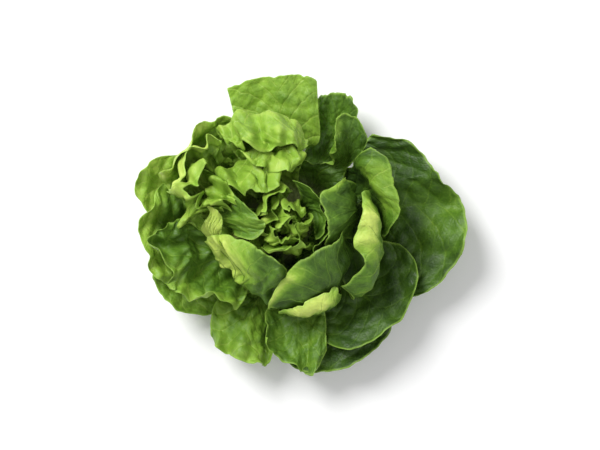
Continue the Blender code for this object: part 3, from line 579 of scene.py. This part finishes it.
def grow_blade(leaf, columns, rows):
    """The leaf's inner face as a grid, with the facts that its finish needs at each point."""
    draw = np.random.default_rng(1000 + round(leaf.azimuth) + round(1000 * leaf.layer))
    across_line, along_line = crowded(-1, columns), crowded(0, rows)
    across, along = np.meshgrid(across_line, along_line, indexing="ij")

    rim = np.polyval(np.polyfit(np.linspace(-1, 1, len(leaf.rim)), leaf.rim, len(leaf.rim) - 1), across)
    notches = waves(draw, [count * math.pi * across for count in NOTCHES], NOTCHES, 0.3)
    rim = rim * (1 + NOTCH_DEPTH * notches)
    waist = 1 - WAIST * np.sin(math.pi * np.clip(along / WAIST_ENDS, 0, 1)) ** 2
    azimuth = leaf.azimuth + leaf.half_angle * waist * across
    own_arc = key_values("arc", leaf.layer) * leaf.length * rim
    arc = own_arc * along

    shaped = leaf.name in SHAPES
    if shaped:
        flat = shaped_face(leaf, across_line, along_line, rim)
        run = np.linalg.norm(np.diff(flat, axis=1), axis=-1)
        arc = np.concatenate([np.zeros((len(across_line), 1)), np.cumsum(run, axis=1)], axis=1)
        own_arc = arc[:, -1:]
        width = np.linalg.norm(np.diff(flat, axis=0), axis=-1).sum(axis=0)[None] / 2
    else:
        flat = family_point(np.full_like(arc, leaf.layer), azimuth, arc)
        width = np.hypot(flat[..., 0], flat[..., 1]) * np.radians(leaf.half_angle * waist)
    x, y = width * across, arc
    outside, inside = (family_point(leaf.layer + step, azimuth, arc) for step in (ROOM_STEP, -ROOM_STEP))
    spacing = np.linalg.norm(outside - inside, axis=-1) / (2 * ROOM_STEP)

    edge = np.minimum((1 - along) * own_arc, (1 - np.abs(across)) * width)
    lift, blisters = blade_lift(leaf, draw, across, along, x, y, edge)
    crests = folds(x, y, draw) * ease((along - 0.2) / 0.3)
    crease = leaf.ruffle * CREASE_SHARE * crests
    inner, outer = room(leaf, leaf.azimuth + leaf.half_angle * across_line[:, None])
    shift = lift / spacing
    inner, outer = inner * ROOM_SHARE, outer * ROOM_SHARE
    shift = np.where(shift > 0, outer * np.tanh(shift / outer), inner * np.tanh(shift / inner))
    layer = np.clip(leaf.layer + shift, 0, 1.02)

    # The blush lightens part of the tone: partly the leaf's own paler colour, partly painted light on lit
    # rims and folds.
    amount, start, place, half_width = leaf.blush
    blush = amount * ease((along - start) / 0.12 + 0.5) * ease(1.3 - np.abs(across - place) / half_width)

    rib_width = RIB_HALF_WIDTH * (RIB_SPREAD - along)
    rib = (1 - ease(np.abs(across) / rib_width)) * (1 - ease(along / RIB_ENDS))
    if shaped:
        beyond = np.cross(np.gradient(flat, axis=0), np.gradient(flat, axis=1))
        beyond /= np.maximum(np.linalg.norm(beyond, axis=-1, keepdims=True), 1e-12)
        points = crumple(flat + beyond * (lift + crease)[..., None], SHAPED_SHARE)
    else:
        beyond = family_point(layer + 0.002, azimuth, arc) - family_point(layer, azimuth, arc)
        away = beyond / np.maximum(np.linalg.norm(beyond, axis=-1, keepdims=True), 1e-12)
        points = crumple(family_point(layer, azimuth, arc) + away * crease[..., None])
    return {
        "points": points, "beyond": beyond, "across": across, "along": along, "x": x, "y": y, "edge": edge,
        # The tone carries painted highlight on the crease crests and painted shade in their valleys, and the
        # blush, partly painted light.
        "rib": rib, "blisters": blisters, "tone": leaf.tone + blush + CREST_HIGHLIGHT_AND_VALLEY_SHADE * crests,
        "across_line": across_line, "along_line": along_line,
        "room": float(outer[len(across_line) // 2].item()),
    }


def outward_normals(points, beyond):
    """Unit normals of a grid, on the side away from the heart."""
    normals = np.cross(np.gradient(points, axis=0), np.gradient(points, axis=1))
    normals /= np.maximum(np.linalg.norm(normals, axis=-1, keepdims=True), 1e-12)
    return normals if (normals * beyond).sum() > 0 else -normals


def sample_grid(grid, across_line, along_line, across, along):
    """The grid's values at these places, read between its lines."""
    column = np.interp(across, across_line, np.arange(len(across_line)))
    row = np.interp(along, along_line, np.arange(len(along_line)))
    left = np.minimum(column.astype(int), len(across_line) - 2)
    low = np.minimum(row.astype(int), len(along_line) - 2)
    right_share, high_share = (column - left)[:, None], (row - low)[:, None]
    below = grid[left, low] * (1 - right_share) + grid[left + 1, low] * right_share
    above = grid[left, low + 1] * (1 - right_share) + grid[left + 1, low + 1] * right_share
    return below * (1 - high_share) + above * high_share


def vein_paths():
    """The secondary veins as lists of places (across, along) from the midrib to near the margin."""
    paths = []
    for sign, side in ((1, 0.5), (-1, 0.0)):
        for count in range(1, VEIN_PAIRS):
            across = np.linspace(0.01, 0.93, 26)
            along = (count - side) / VEIN_PAIRS + vein_climb(across)
            keep = (along < 0.95) & (along > 0.05)
            if keep.sum() > 6:
                paths.append((sign * across[keep], along[keep]))
    return paths


def blade_faces(index, flip):
    """The quads of a grid of points, of its back, which comes next, and of the strip round their border."""
    front = np.stack([index[:-1, :-1], index[1:, :-1], index[1:, 1:], index[:-1, 1:]], axis=-1).reshape(-1, 4)
    border = np.concatenate([index[:, 0], index[-1, 1:], index[-2::-1, -1], index[0, -2:0:-1]])
    after = np.roll(border, -1)
    sides = np.stack([border, border + index.size, after + index.size, after], axis=-1)
    if flip:
        front, sides = front[:, ::-1], sides[:, ::-1]
    return np.concatenate([front, front[:, ::-1] + index.size, sides])


def leaf_mesh(leaf, look):
    """The leaf as one closed blade, with its veins as bare lines that the vein tree turns to ribs."""
    blade = grow_blade(leaf, look.columns, look.rows)
    points = blade["points"]
    normals = outward_normals(points, blade["beyond"])
    rib_thickness = min(look.rib_thickness, 0.75 * blade["room"] * STEM_HEIGHT)
    thickness = look.blade_thickness * (0.45 + 0.55 * ease(blade["edge"] / 0.003))
    thickness = thickness + rib_thickness * blade["rib"]
    back = points + normals * thickness[..., None]
    count = points.shape[0] * points.shape[1]
    flip = (np.cross(np.gradient(points, axis=0), np.gradient(points, axis=1)) * normals).sum() > 0
    faces = blade_faces(np.arange(count).reshape(points.shape[:2]), flip)

    vein_points, vein_radii, edges = [], [], []
    total = 2 * count
    slim = min(1, float(np.median(np.abs(blade["x"][-1]))) / FULL_WIDTH)
    for across, along in vein_paths():
        share = np.linspace(0, 1, len(across))
        first = total + sum(len(p) for p in vein_points)
        vein_points.append(sample_grid(back, blade["across_line"], blade["along_line"], across, along))
        vein_radii.append(look.vein_radius * slim * (1 - VEIN_THINNING * share)
                          * (VEIN_SIZES[0] - VEIN_SIZES[1] * along))
        edges += [(first + i, first + i + 1) for i in range(len(across) - 1)]
    every_point = np.concatenate([points.reshape(-1, 3), back.reshape(-1, 3)] + vein_points)

    mesh = bpy.data.meshes.new(leaf.name)
    mesh.vertices.add(len(every_point))
    mesh.vertices.foreach_set("co", every_point.astype(np.float32).ravel())
    mesh.edges.add(len(edges))
    mesh.edges.foreach_set("vertices", np.array(edges, dtype=np.int32).ravel())
    mesh.loops.add(4 * len(faces))
    mesh.loops.foreach_set("vertex_index", faces.astype(np.int32).ravel())
    mesh.polygons.add(len(faces))
    mesh.polygons.foreach_set("loop_start", np.arange(0, 4 * len(faces), 4, dtype=np.int32))
    mesh.update(calc_edges=True)
    mesh.polygons.foreach_set("use_smooth", np.ones(len(faces), dtype=bool))

    bare = np.zeros(len(every_point) - total)
    names = ("across", "along", "x", "y", "edge", "blisters", "tone")
    both = {name: np.tile(blade[name].ravel(), 2) for name in names}
    facts = {
        "tone": np.concatenate([both["tone"], bare + leaf.tone]),
        "edge_mm": np.concatenate([both["edge"] * 1000, bare + 20]),
        "blister": np.concatenate([both["blisters"], bare]),
        "outside": np.concatenate([np.zeros(count), np.ones(count), bare + 1]),
        "vein_radius": np.concatenate([np.zeros(total), np.concatenate(vein_radii)]),
    }
    for name, values in facts.items():
        mesh.attributes.new(name, "FLOAT", "POINT").data.foreach_set("value", values.astype(np.float32))
    loops = faces.ravel()
    maps = (("place", both["across"] / 2 + 0.5, both["along"]), ("metric", both["x"] * 10, both["y"] * 10))
    for name, u, v in maps:
        layer = mesh.uv_layers.new(name=name)
        layer.data.foreach_set("uv", np.stack([u[loops], v[loops]], axis=-1).astype(np.float32).ravel())
    return mesh


class Nodes:
    """Short names for wiring a tree of nodes."""

    def __init__(self, tree):
        self.tree = tree

    def put(self, socket, value):
        if isinstance(value, bpy.types.NodeSocket):
            self.tree.links.new(value, socket)
        elif value is not None:
            socket.default_value = value

    def add(self, kind, inputs=(), output=0, **settings):
        """The output of a new node, once it has its settings, constants and links."""
        node = self.tree.nodes.new(kind)
        for name, value in settings.items():
            setattr(node, name, value)
        for name, value in dict(inputs).items():
            self.put(node.inputs[name], value)
        return node.outputs[output]

    def math(self, operation, a, b=None, clamp=False):
        return self.add("ShaderNodeMath", {0: a, 1: b}, operation=operation, use_clamp=clamp)

    def plus(self, a, b):
        return self.math("ADD", a, b)

    def minus(self, a, b):
        return self.math("SUBTRACT", a, b)

    def times(self, a, b):
        return self.math("MULTIPLY", a, b)

    def join(self, *parts):
        node = self.tree.nodes.new("GeometryNodeJoinGeometry")
        for part in parts:
            self.put(node.inputs["Geometry"], part)
        return node.outputs["Geometry"]

    def finish(self, geometry, material):
        """Ends a tree of geometry nodes, with all of it in this material."""
        done = self.add("GeometryNodeSetMaterial", {"Geometry": geometry, "Material": material})
        self.put(self.tree.nodes.new("NodeGroupOutput").inputs["Geometry"], done)
        return self.tree


def new_tree(name, **sockets):
    """A tree of geometry nodes with these inputs, by name and kind, and the sockets that they arrive at."""
    tree = bpy.data.node_groups.new(name, "GeometryNodeTree")
    for socket, kind in {"Geometry": "Geometry", **sockets, "Material": "Material"}.items():
        label = socket.replace("_", " ")
        tree.interface.new_socket(label, in_out="INPUT", socket_type="NodeSocket" + kind)
    tree.interface.new_socket("Geometry", in_out="OUTPUT", socket_type="NodeSocketGeometry")
    return Nodes(tree), tree.nodes.new("NodeGroupInput").outputs


def vein_tree():
    """Geometry nodes that turn a leaf's bare vein lines to ribs and give the whole leaf its material."""
    g, given = new_tree("leaf_veins", Vein_size="Float", Vein_sides="Int")
    radius = g.add("GeometryNodeInputNamedAttribute", {"Name": "vein_radius"}, "Attribute", data_type="FLOAT")
    over_zero = {"data_type": "FLOAT", "operation": "GREATER_THAN"}
    is_vein = g.add("FunctionNodeCompare", {"A": radius}, "Result", **over_zero)
    parts = {"Geometry": given["Geometry"], "Selection": is_vein}
    bare = g.add("GeometryNodeSeparateGeometry", parts, "Selection", domain="POINT")
    blade = bare.node.outputs["Inverted"]
    lines = g.add("GeometryNodeMeshToCurve", {"Mesh": bare}, "Curve")
    ring = {"Radius": 1, "Resolution": given["Vein sides"]}
    ring = g.add("GeometryNodeCurvePrimitiveCircle", ring, "Curve")
    sized = g.times(radius, given["Vein size"])
    tube = {"Curve": lines, "Scale": sized, "Profile Curve": ring, "Fill Caps": True}
    ribs = g.add("GeometryNodeSetShadeSmooth", {"Geometry": g.add("GeometryNodeCurveToMesh", tube, "Mesh")})
    whole = g.add("GeometryNodeRealizeInstances", {"Geometry": g.join(blade, ribs)})
    return g.finish(whole, given["Material"])


def scar_tree():
    """Geometry nodes that set leaf scars round the stem's foot, turn by turn as the leaves grew."""
    g, given = new_tree("stem_scars", Scars="Int", Radius="Float", Lowest="Float", Highest="Float",
                        Scar_size="Float", Seed="Int")
    number = g.add("GeometryNodeInputIndex")
    turn = g.times(number, GOLDEN_ANGLE)
    share = g.math("DIVIDE", number, given["Scars"])
    span = {"Value": share, "To Min": given["Lowest"], "To Max": given["Highest"]}
    spot = {
        "X": g.times(g.math("COSINE", turn), given["Radius"]),
        "Y": g.times(g.math("SINE", turn), given["Radius"]),
        "Z": g.add("ShaderNodeMapRange", span, "Result"),
    }
    points = g.add("GeometryNodePoints", {"Count": given["Scars"]})
    spot = g.add("ShaderNodeCombineXYZ", spot)
    points = g.add("GeometryNodeSetPosition", {"Geometry": points, "Position": spot})
    jitter = g.add("FunctionNodeRandomValue", {"Seed": given["Seed"]}, 1, data_type="FLOAT")
    size = {
        "X": g.times(given["Scar size"], SCAR_DEPTH),
        "Y": g.times(given["Scar size"], g.plus(jitter, 0.6)),
        "Z": g.times(given["Scar size"], SCAR_HEIGHT),
    }
    scars = g.add("GeometryNodeInstanceOnPoints", {
        "Points": points,
        "Instance": g.add("GeometryNodeMeshIcoSphere", {"Radius": 1, "Subdivisions": 3}, "Mesh"),
        "Rotation": g.add("ShaderNodeCombineXYZ", {"Z": turn}),
        "Scale": g.add("ShaderNodeCombineXYZ", size),
    })
    scars = g.add("GeometryNodeRealizeInstances", {"Geometry": scars})
    scars = {"Geometry": scars, "Name": "scar", "Value": 1}
    scars = g.add("GeometryNodeStoreNamedAttribute", scars, data_type="FLOAT", domain="POINT")
    scars = g.add("GeometryNodeSetShadeSmooth", {"Geometry": scars})
    return g.finish(g.join(given["Geometry"], scars), given["Material"])


def grown(name, mesh, tree, values):
    """An object of this mesh with the tree's result as its plain mesh."""
    seed = bpy.data.objects.new(name + "_seed", mesh)
    bpy.context.scene.collection.objects.link(seed)
    modifier = seed.modifiers.new("grow", "NODES")
    modifier.node_group = tree
    inputs = {item.name: item.identifier for item in tree.interface.items_tree if item.in_out == "INPUT"}
    for key, value in values.items():
        modifier[inputs[key]] = value
    bpy.context.view_layer.update()
    result = bpy.data.meshes.new_from_object(seed.evaluated_get(bpy.context.evaluated_depsgraph_get()))
    result.name = name
    bpy.data.objects.remove(seed)
    piece = bpy.data.objects.new(name, result)
    bpy.context.scene.collection.objects.link(piece)
    return piece


class Finish(Nodes):
    """A material, with short names for what its colours are mixed from."""

    def __init__(self, name):
        self.material = bpy.data.materials.new(name)
        self.material.use_nodes = True
        super().__init__(self.material.node_tree)
        self.shader = self.tree.nodes["Principled BSDF"]
        self.place = self.add("ShaderNodeTexCoord", output="Object")

    def surface(self, **values):
        """Sets or links the shader's inputs."""
        for name, value in values.items():
            self.put(self.shader.inputs[name.replace("_", " ")], value)
        return self.material

    def split(self, vector):
        return self.add("ShaderNodeSeparateXYZ", {0: vector}).node.outputs

    def fade(self, value, start, end, low=0.0, high=1.0):
        values = {"Value": value, "From Min": start, "From Max": end, "To Min": low, "To Max": high}
        return self.add("ShaderNodeMapRange", values, "Result", interpolation_type="SMOOTHSTEP")

    def fact(self, name):
        return self.add("ShaderNodeAttribute", output="Fac", attribute_name=name)

    def uv(self, name):
        return self.add("ShaderNodeUVMap", output="UV", uv_map=name)

    def noise(self, coordinates, scale, detail=3.0):
        values = {"Vector": coordinates, "Scale": scale, "Detail": detail}
        return self.add("ShaderNodeTexNoise", values, "Fac")

    def net(self, coordinates, scale):
        values = {"Vector": coordinates, "Scale": scale}
        settings = {"voronoi_dimensions": "2D", "feature": "DISTANCE_TO_EDGE"}
        return self.add("ShaderNodeTexVoronoi", values, "Distance", **settings)

    def blend(self, share, a, b):
        return self.add("ShaderNodeMix", {0: share, 6: a, 7: b}, 2, data_type="RGBA")

    def ramp(self, value, stops):
        colour = self.add("ShaderNodeValToRGB", {"Fac": value}, "Color")
        elements = colour.node.color_ramp.elements
        while len(elements) < len(stops):
            elements.new(0.5)
        for element, (place, tint) in zip(elements, stops):
            element.position, element.color = place, (*tint, 1)
        return colour

    def bump(self, height, distance):
        return self.add("ShaderNodeBump", {"Distance": distance, "Height": height}, "Normal")


def leaf_finish(name, look):
    """Waxy leaf: green by its tone, with pale veins, a fine net between them and a pale margin."""
    g = Finish(name)
    metric = g.uv("metric")
    parts = g.split(g.uv("place"))
    signed = g.minus(g.times(parts["X"], 2.0), 1.0)
    across, along = g.math("ABSOLUTE", signed), parts["Y"]
    is_rib = g.math("GREATER_THAN", g.fact("vein_radius"), 0.0)

    bend = g.minus(VEIN_BOW[0], g.times(across, VEIN_BOW[1]))
    rise = g.times(g.times(across, VEIN_RISE), bend)
    side = g.times(g.math("GREATER_THAN", signed, 0.0), 0.5)
    wander = g.times(g.minus(g.noise(metric, 9.0), 0.5), 0.25)
    phase = g.plus(g.plus(g.times(g.minus(along, rise), VEIN_PAIRS), side), wander)
    off_line = g.math("ABSOLUTE", g.minus(phase, g.math("ROUND", phase)))
    veins = g.fade(off_line, 0.015, 0.065, 1.0, 0.0)
    midrib_edge = g.minus(0.07, g.times(along, 0.058))
    midrib = g.math("SUBTRACT", 1.0, g.math("DIVIDE", across, midrib_edge), clamp=True)
    midrib = g.times(midrib, g.fade(along, 0.97, 0.6))
    branches = g.fade(g.net(metric, 9.0), 0.0, 0.07, 1.0, 0.0)
    cells = g.net(metric, 26.0)
    fine = g.fade(cells, 0.0, 0.09, 1.0, 0.0)

    blotches, mottle = g.minus(g.noise(g.place, 24.0), 0.5), g.minus(g.noise(g.place, 110.0), 0.5)
    tone = g.plus(g.fact("tone"), g.times(blotches, look.blotch))
    tone = g.plus(tone, g.times(mottle, look.blotch * 0.6))
    tone = g.plus(tone, g.times(g.fact("blister"), -0.08))
    tone = g.plus(tone, g.times(g.fact("outside"), 0.10))
    stops = ((0.0, look.dark), (0.33, look.middle), (0.66, look.light), (1.0, look.pale))
    lines = g.math("MAXIMUM", g.times(veins, 0.50), g.times(branches, 0.26))
    for kind, strength in ((fine, 0.14), (midrib, 0.75), (is_rib, 0.45)):
        lines = g.math("MAXIMUM", lines, g.times(kind, strength))
    colour = g.blend(g.times(lines, look.veins), g.ramp(tone, stops), g.ramp(g.plus(tone, 0.38), stops))
    blade = g.minus(1.0, is_rib)
    margin = g.times(g.fade(g.fact("edge_mm"), 0.2, 2.6, 1.0, 0.0), look.margin)
    colour = g.blend(margin, colour, (*look.rim, 1))
    heel = g.times(g.times(g.fade(along, 0.04, 0.30, 1.0, 0.0), blade), 0.85)

    height = g.minus(g.math("MINIMUM", cells, 0.30), g.times(veins, 0.35))
    height = g.times(g.plus(height, g.times(g.noise(g.place, 420.0, 2.0), 0.25)), blade)
    return g.surface(
        Base_Color=g.blend(heel, colour, (*look.heel, 1)),
        Roughness=g.fade(g.noise(g.place, 60.0), 0.3, 0.7, look.gloss - 0.06, look.gloss + 0.08),
        Specular_IOR_Level=0.35,
        Subsurface_Weight=look.translucence,
        Subsurface_Radius=(0.8, 1.0, 0.25),
        Subsurface_Scale=0.0015,
        Normal=g.bump(height, look.grain),
    )


def stem_finish(look):
    """Crisp stem tissue: cream, greener where leaves sat, browned on the cut face and its scars."""
    g = Finish("stem_tissue")
    parts = g.split(g.place)
    squares = g.plus(g.math("POWER", parts["X"], 2.0), g.math("POWER", parts["Y"], 2.0))
    radius = g.math("DIVIDE", g.math("SQRT", squares), look.cut_diameter / 2)
    ragged = g.plus(radius, g.times(g.minus(g.noise(g.place, 300.0), 0.5), 0.16))
    flat = g.fade(parts["Z"], 0.0002, 0.0012, 1.0, 0.0)
    ring = g.times(g.fade(ragged, 0.52, 0.66), g.fade(ragged, 0.84, 0.70))
    browned = (*look.browned, 1)
    skin = g.ramp(g.noise(g.place, 160.0, 4.0), ((0.3, look.tissue), (0.7, look.green)))
    cut = g.blend(g.noise(g.place, 420.0, 4.0), (*look.tissue, 1), (*look.pith, 1))
    cut = g.blend(g.times(ring, 0.75), cut, browned)
    cut = g.blend(g.times(g.fade(ragged, 0.88, 1.02), 0.6), cut, browned)
    return g.surface(
        Base_Color=g.blend(g.times(g.fact("scar"), 0.8), g.blend(flat, skin, cut), browned),
        Roughness=g.fade(g.noise(g.place, 240.0), 0.3, 0.7, 0.34, 0.58),
        Subsurface_Weight=0.25,
        Subsurface_Radius=(1.0, 0.8, 0.4),
        Subsurface_Scale=0.003,
        Normal=g.bump(g.noise(g.place, 700.0, 3.0), 0.0003),
    )


def floor_finish(look):
    """Plain matt board."""
    g = Finish("board")
    tint = tuple(0.985 * c for c in look.floor_colour)
    colour = g.blend(g.noise(g.place, 4.0), (*look.floor_colour, 1), (*tint, 1))
    return g.surface(Base_Color=colour, Roughness=0.9)


def stem_mesh(look):
    """The stem turned about its axis, a little fluted, from the growing tip down to the flat cut."""
    outline = [(0.0, STEM_HIGH.z)]
    outline += [(key.root_radius * STEM_DIAMETER / 2, key.root_height * STEM_HEIGHT) for key in KEYS]
    bevel = STEM_BEVEL * look.cut_diameter
    outline += [(look.cut_diameter / 2 + bevel, 2 * bevel), (look.cut_diameter / 2, 0.0), (0.0, 0.0)]
    heights = np.array([h for _, h in outline])
    radii = np.array([r for r, _ in outline])
    run = np.concatenate([[0], np.cumsum(np.hypot(np.diff(radii), np.diff(heights)))])
    fine = np.unique(np.concatenate([run, np.linspace(0, run[-1], look.rings)]))
    radii, heights = np.interp(fine, run, radii), np.interp(fine, run, heights)
    sides = look.sides
    turn = np.linspace(0, 2 * math.pi, sides, endpoint=False)
    flute = 1
    for depth, number, phase in FLUTES:
        flute = flute - depth * (1 + np.sin(number * turn + phase)) * 0.5
    points = [(0, 0, heights[0])]
    for radius, height in zip(radii[1:-1], heights[1:-1]):
        points += [(radius * f * math.cos(t), radius * f * math.sin(t), height) for t, f in zip(turn, flute)]
    points.append((0, 0, 0))
    rings = len(radii) - 2
    faces = [(0, 1 + side, 1 + (side + 1) % sides) for side in range(sides)]
    for ring in range(rings - 1):
        first = 1 + ring * sides
        for side in range(sides):
            after = (side + 1) % sides
            faces.append((first + side, first + sides + side, first + sides + after, first + after))
    last = 1 + (rings - 1) * sides
    faces += [(last + side, len(points) - 1, last + (side + 1) % sides) for side in range(sides)]
    mesh = bpy.data.meshes.new("stem")
    mesh.from_pydata(points, [], faces)
    mesh.shade_smooth()
    return mesh


def length_of(name, description, default):
    """A size in metres."""
    return FloatProperty(name=name, description=description, default=default, unit="LENGTH")


def share_of(name, description, default):
    """A share from 0 to 1."""
    return FloatProperty(name=name, description=description, default=default, subtype="FACTOR")


def colour_of(name, description, default):
    """A colour."""
    return FloatVectorProperty(name=name, description=description, default=default, subtype="COLOR")


class LettuceLeafLook(bpy.types.PropertyGroup):
    """Sizes and colours of one group of leaves."""

    columns: IntProperty(name="Columns", description="Faces across one leaf", default=84, min=8)
    rows: IntProperty(name="Rows", description="Faces from the stem to the rim", default=72, min=8)
    blade_thickness: length_of("Blade thickness", "Leaf blade between its veins", 0.0006)
    rib_thickness: length_of("Rib thickness", "How far the midrib stands out at the stem", 0.0032)
    vein_radius: length_of("Vein radius", "Secondary vein where it leaves the midrib", 0.0007)
    dark: colour_of("Dark", "Green at tone 0", (0.027, 0.067, 0.007))
    middle: colour_of("Middle", "Green at tone 0.33", (0.084, 0.185, 0.013))
    light: colour_of("Light", "Green at tone 0.66", (0.235, 0.405, 0.036))
    pale: colour_of("Pale", "Yellow green at tone 1", (0.520, 0.640, 0.130))
    rim: colour_of("Rim", "The leaf's margin", (0.300, 0.490, 0.070))
    heel: colour_of("Heel", "The leaf where it joins the stem", (0.620, 0.680, 0.320))
    margin: share_of("Margin", "How strongly the rim colours the margin", 0.6)
    veins: share_of("Veins", "How pale the veins are", 0.5)
    blotch: FloatProperty(name="Blotch", description="How far the tone wanders over a leaf", default=0.40)
    gloss: share_of("Roughness", "Roughness of the waxy skin", 0.50)
    grain: length_of("Grain", "Depth of the fine vein net", 0.0005)
    translucence: share_of("Translucence", "Light that passes into the leaf", 0.12)


class LettuceStemLook(bpy.types.PropertyGroup):
    """Sizes and colours of the stem."""

    cut_diameter: length_of("Cut diameter", "Flat cut face", 0.030)
    sides: IntProperty(name="Sides", description="Faces round the stem", default=96, min=8)
    rings: IntProperty(name="Rings", description="Rings from the tip to the cut", default=60, min=8)
    scars: IntProperty(name="Scars", description="Leaf scars round the foot", default=7, min=0)
    scar_size: length_of("Scar size", "Half length of a scar", 0.0045)
    tissue: colour_of("Tissue", "Crisp tissue", (0.66, 0.66, 0.40))
    green: colour_of("Green", "Skin where leaves sat", (0.48, 0.58, 0.22))
    pith: colour_of("Pith", "Middle of the cut", (0.72, 0.74, 0.52))
    browned: colour_of("Browned", "Dried latex on the cut", (0.38, 0.19, 0.08))


class LettuceStageLook(bpy.types.PropertyGroup):
    """The floor, the light and the camera."""

    floor_size: length_of("Floor size", "Side of the floor", 8.0)
    floor_colour: colour_of("Floor colour", "Pale board", (0.94, 0.94, 0.94))
    key_power: FloatProperty(name="Key power", description="Soft light from the upper left", default=33.0)
    fill_power: FloatProperty(name="Fill power", description="Wide light from above", default=10.0)
    sky: FloatProperty(name="Sky", description="Light from all round", default=0.42)
    lens: FloatProperty(name="Lens", description="Focal length in millimetres", default=100.0)
    distance: length_of("Distance", "Camera above the head's middle", 1.39)


def add_leaves(group, look):
    """Grows each leaf of a group onto the body, in place of its plain solid."""
    finish = leaf_finish(group + "_leaf_skin", look)
    tree = bpy.data.node_groups.get("leaf_veins") or vein_tree()
    for leaf in LEAVES:
        if not leaf.name.startswith(group):
            continue
        values = {"Vein size": 1.0, "Vein sides": 6, "Material": finish}
        piece = grown(leaf.name + "_blade", leaf_mesh(leaf, look), tree, values)
        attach(piece, "root")
        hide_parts(leaf.name)


class LeafStep:
    """What the steps that grow a group of leaves share."""

    def execute(self, context):
        add_leaves(self.group, getattr(context.scene, "lettuce_" + self.group))
        return {"FINISHED"}


class LETTUCE_OT_outer_leaves(LeafStep, bpy.types.Operator):
    """Grow the outer leaves, which lie open or stand round the head"""

    bl_idname = "lettuce.outer_leaves"
    bl_label = "Outer leaves"
    group = "outer"


class LETTUCE_OT_wrapper_leaves(LeafStep, bpy.types.Operator):
    """Grow the wrapper leaves, which cup the heart"""

    bl_idname = "lettuce.wrapper_leaves"
    bl_label = "Wrapper leaves"
    group = "wrapper"


class LETTUCE_OT_inner_leaves(LeafStep, bpy.types.Operator):
    """Grow the ring of leaves round the heart"""

    bl_idname = "lettuce.inner_leaves"
    bl_label = "Inner leaves"
    group = "inner"


class LETTUCE_OT_heart_leaves(LeafStep, bpy.types.Operator):
    """Grow the small crumpled leaves of the heart"""

    bl_idname = "lettuce.heart_leaves"
    bl_label = "Heart leaves"
    group = "heart"


class LETTUCE_OT_stem(bpy.types.Operator):
    """Turn the stem with its flat cut and its leaf scars"""

    bl_idname = "lettuce.stem"
    bl_label = "Stem"

    def execute(self, context):
        look = context.scene.lettuce_stem
        values = {
            "Scars": look.scars, "Radius": look.cut_diameter / 2 + SCAR_OFFSET, "Lowest": SCAR_LOWEST,
            "Highest": SCAR_HIGHEST, "Scar size": look.scar_size, "Seed": 3, "Material": stem_finish(look),
        }
        piece = grown("stem", stem_mesh(look), scar_tree(), values)
        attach(piece, "root")
        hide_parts("stem_core")
        return {"FINISHED"}


class LETTUCE_OT_stage(bpy.types.Operator):
    """Lay the floor, light the head softly from the upper left and look straight down on it"""

    bl_idname = "lettuce.stage"
    bl_label = "Stage"

    def execute(self, context):
        scene = context.scene
        look = scene.lettuce_stage
        half = look.floor_size / 2
        corners = [(-half, -half, 0), (half, -half, 0), (half, half, 0), (-half, half, 0)]
        mesh = bpy.data.meshes.new("floor")
        mesh.from_pydata(corners, [], [(0, 1, 2, 3)])
        mesh.materials.append(floor_finish(look))
        floor = bpy.data.objects.new("floor", mesh)
        scene.collection.objects.link(floor)
        for (name, place, size), power in zip(LAMPS, (look.key_power, look.fill_power)):
            light = bpy.data.lights.new(name, "AREA")
            light.shape, light.size, light.energy = "DISK", size, power
            lamp = bpy.data.objects.new(name, light)
            lamp.location = place
            lamp.rotation_euler = (HEAD_MIDDLE - Vector(place)).to_track_quat("-Z", "Y").to_euler()
            scene.collection.objects.link(lamp)
        world = bpy.data.worlds.new("sky")
        world.use_nodes = True
        world.node_tree.nodes["Background"].inputs["Color"].default_value = (1, 1, 1, 1)
        world.node_tree.nodes["Background"].inputs["Strength"].default_value = look.sky
        scene.world = world
        scene.view_settings.view_transform = "Standard"
        lens = bpy.data.cameras.new("camera")
        lens.lens = look.lens
        camera = bpy.data.objects.new("camera", lens)
        camera.location = HEAD_MIDDLE + Vector((0, 0, look.distance))
        scene.collection.objects.link(camera)
        scene.camera = camera
        return {"FINISHED"}


class LETTUCE_PT_panel(bpy.types.Panel):
    """Lists the steps that grow the head"""

    bl_idname = "LETTUCE_PT_panel"
    bl_label = "Butterhead lettuce"
    bl_space_type = "VIEW_3D"
    bl_region_type = "UI"
    bl_category = "Lettuce"

    def draw(self, context):
        for step in STEPS:
            self.layout.operator(step.bl_idname)
        for name in GROUPS:
            look = getattr(context.scene, name)
            box = self.layout.box()
            box.label(text=name.split("_")[1].capitalize())
            for field in look.__annotations__:
                box.prop(look, field)


STEPS = (LETTUCE_OT_stem, LETTUCE_OT_heart_leaves, LETTUCE_OT_inner_leaves, LETTUCE_OT_wrapper_leaves,
         LETTUCE_OT_outer_leaves, LETTUCE_OT_stage)
GROUPS = {
    "lettuce_outer": LettuceLeafLook, "lettuce_wrapper": LettuceLeafLook, "lettuce_inner": LettuceLeafLook,
    "lettuce_heart": LettuceLeafLook, "lettuce_stem": LettuceStemLook, "lettuce_stage": LettuceStageLook,
}
CLASSES = (LettuceLeafLook, LettuceStemLook, LettuceStageLook) + STEPS + (LETTUCE_PT_panel,)


def register():
    for kind in CLASSES:
        bpy.utils.register_class(kind)
    for name, kind in GROUPS.items():
        setattr(bpy.types.Scene, name, PointerProperty(type=kind))


def unregister():
    for name in GROUPS:
        delattr(bpy.types.Scene, name)
    for kind in reversed(CLASSES):
        bpy.utils.unregister_class(kind)


def main():
    register()
    bpy.ops.lettuce.stem()
    bpy.ops.lettuce.heart_leaves()
    bpy.ops.lettuce.inner_leaves()
    bpy.ops.lettuce.wrapper_leaves()
    bpy.ops.lettuce.outer_leaves()
    bpy.ops.lettuce.stage()


if __name__ == "__main__":
    main()
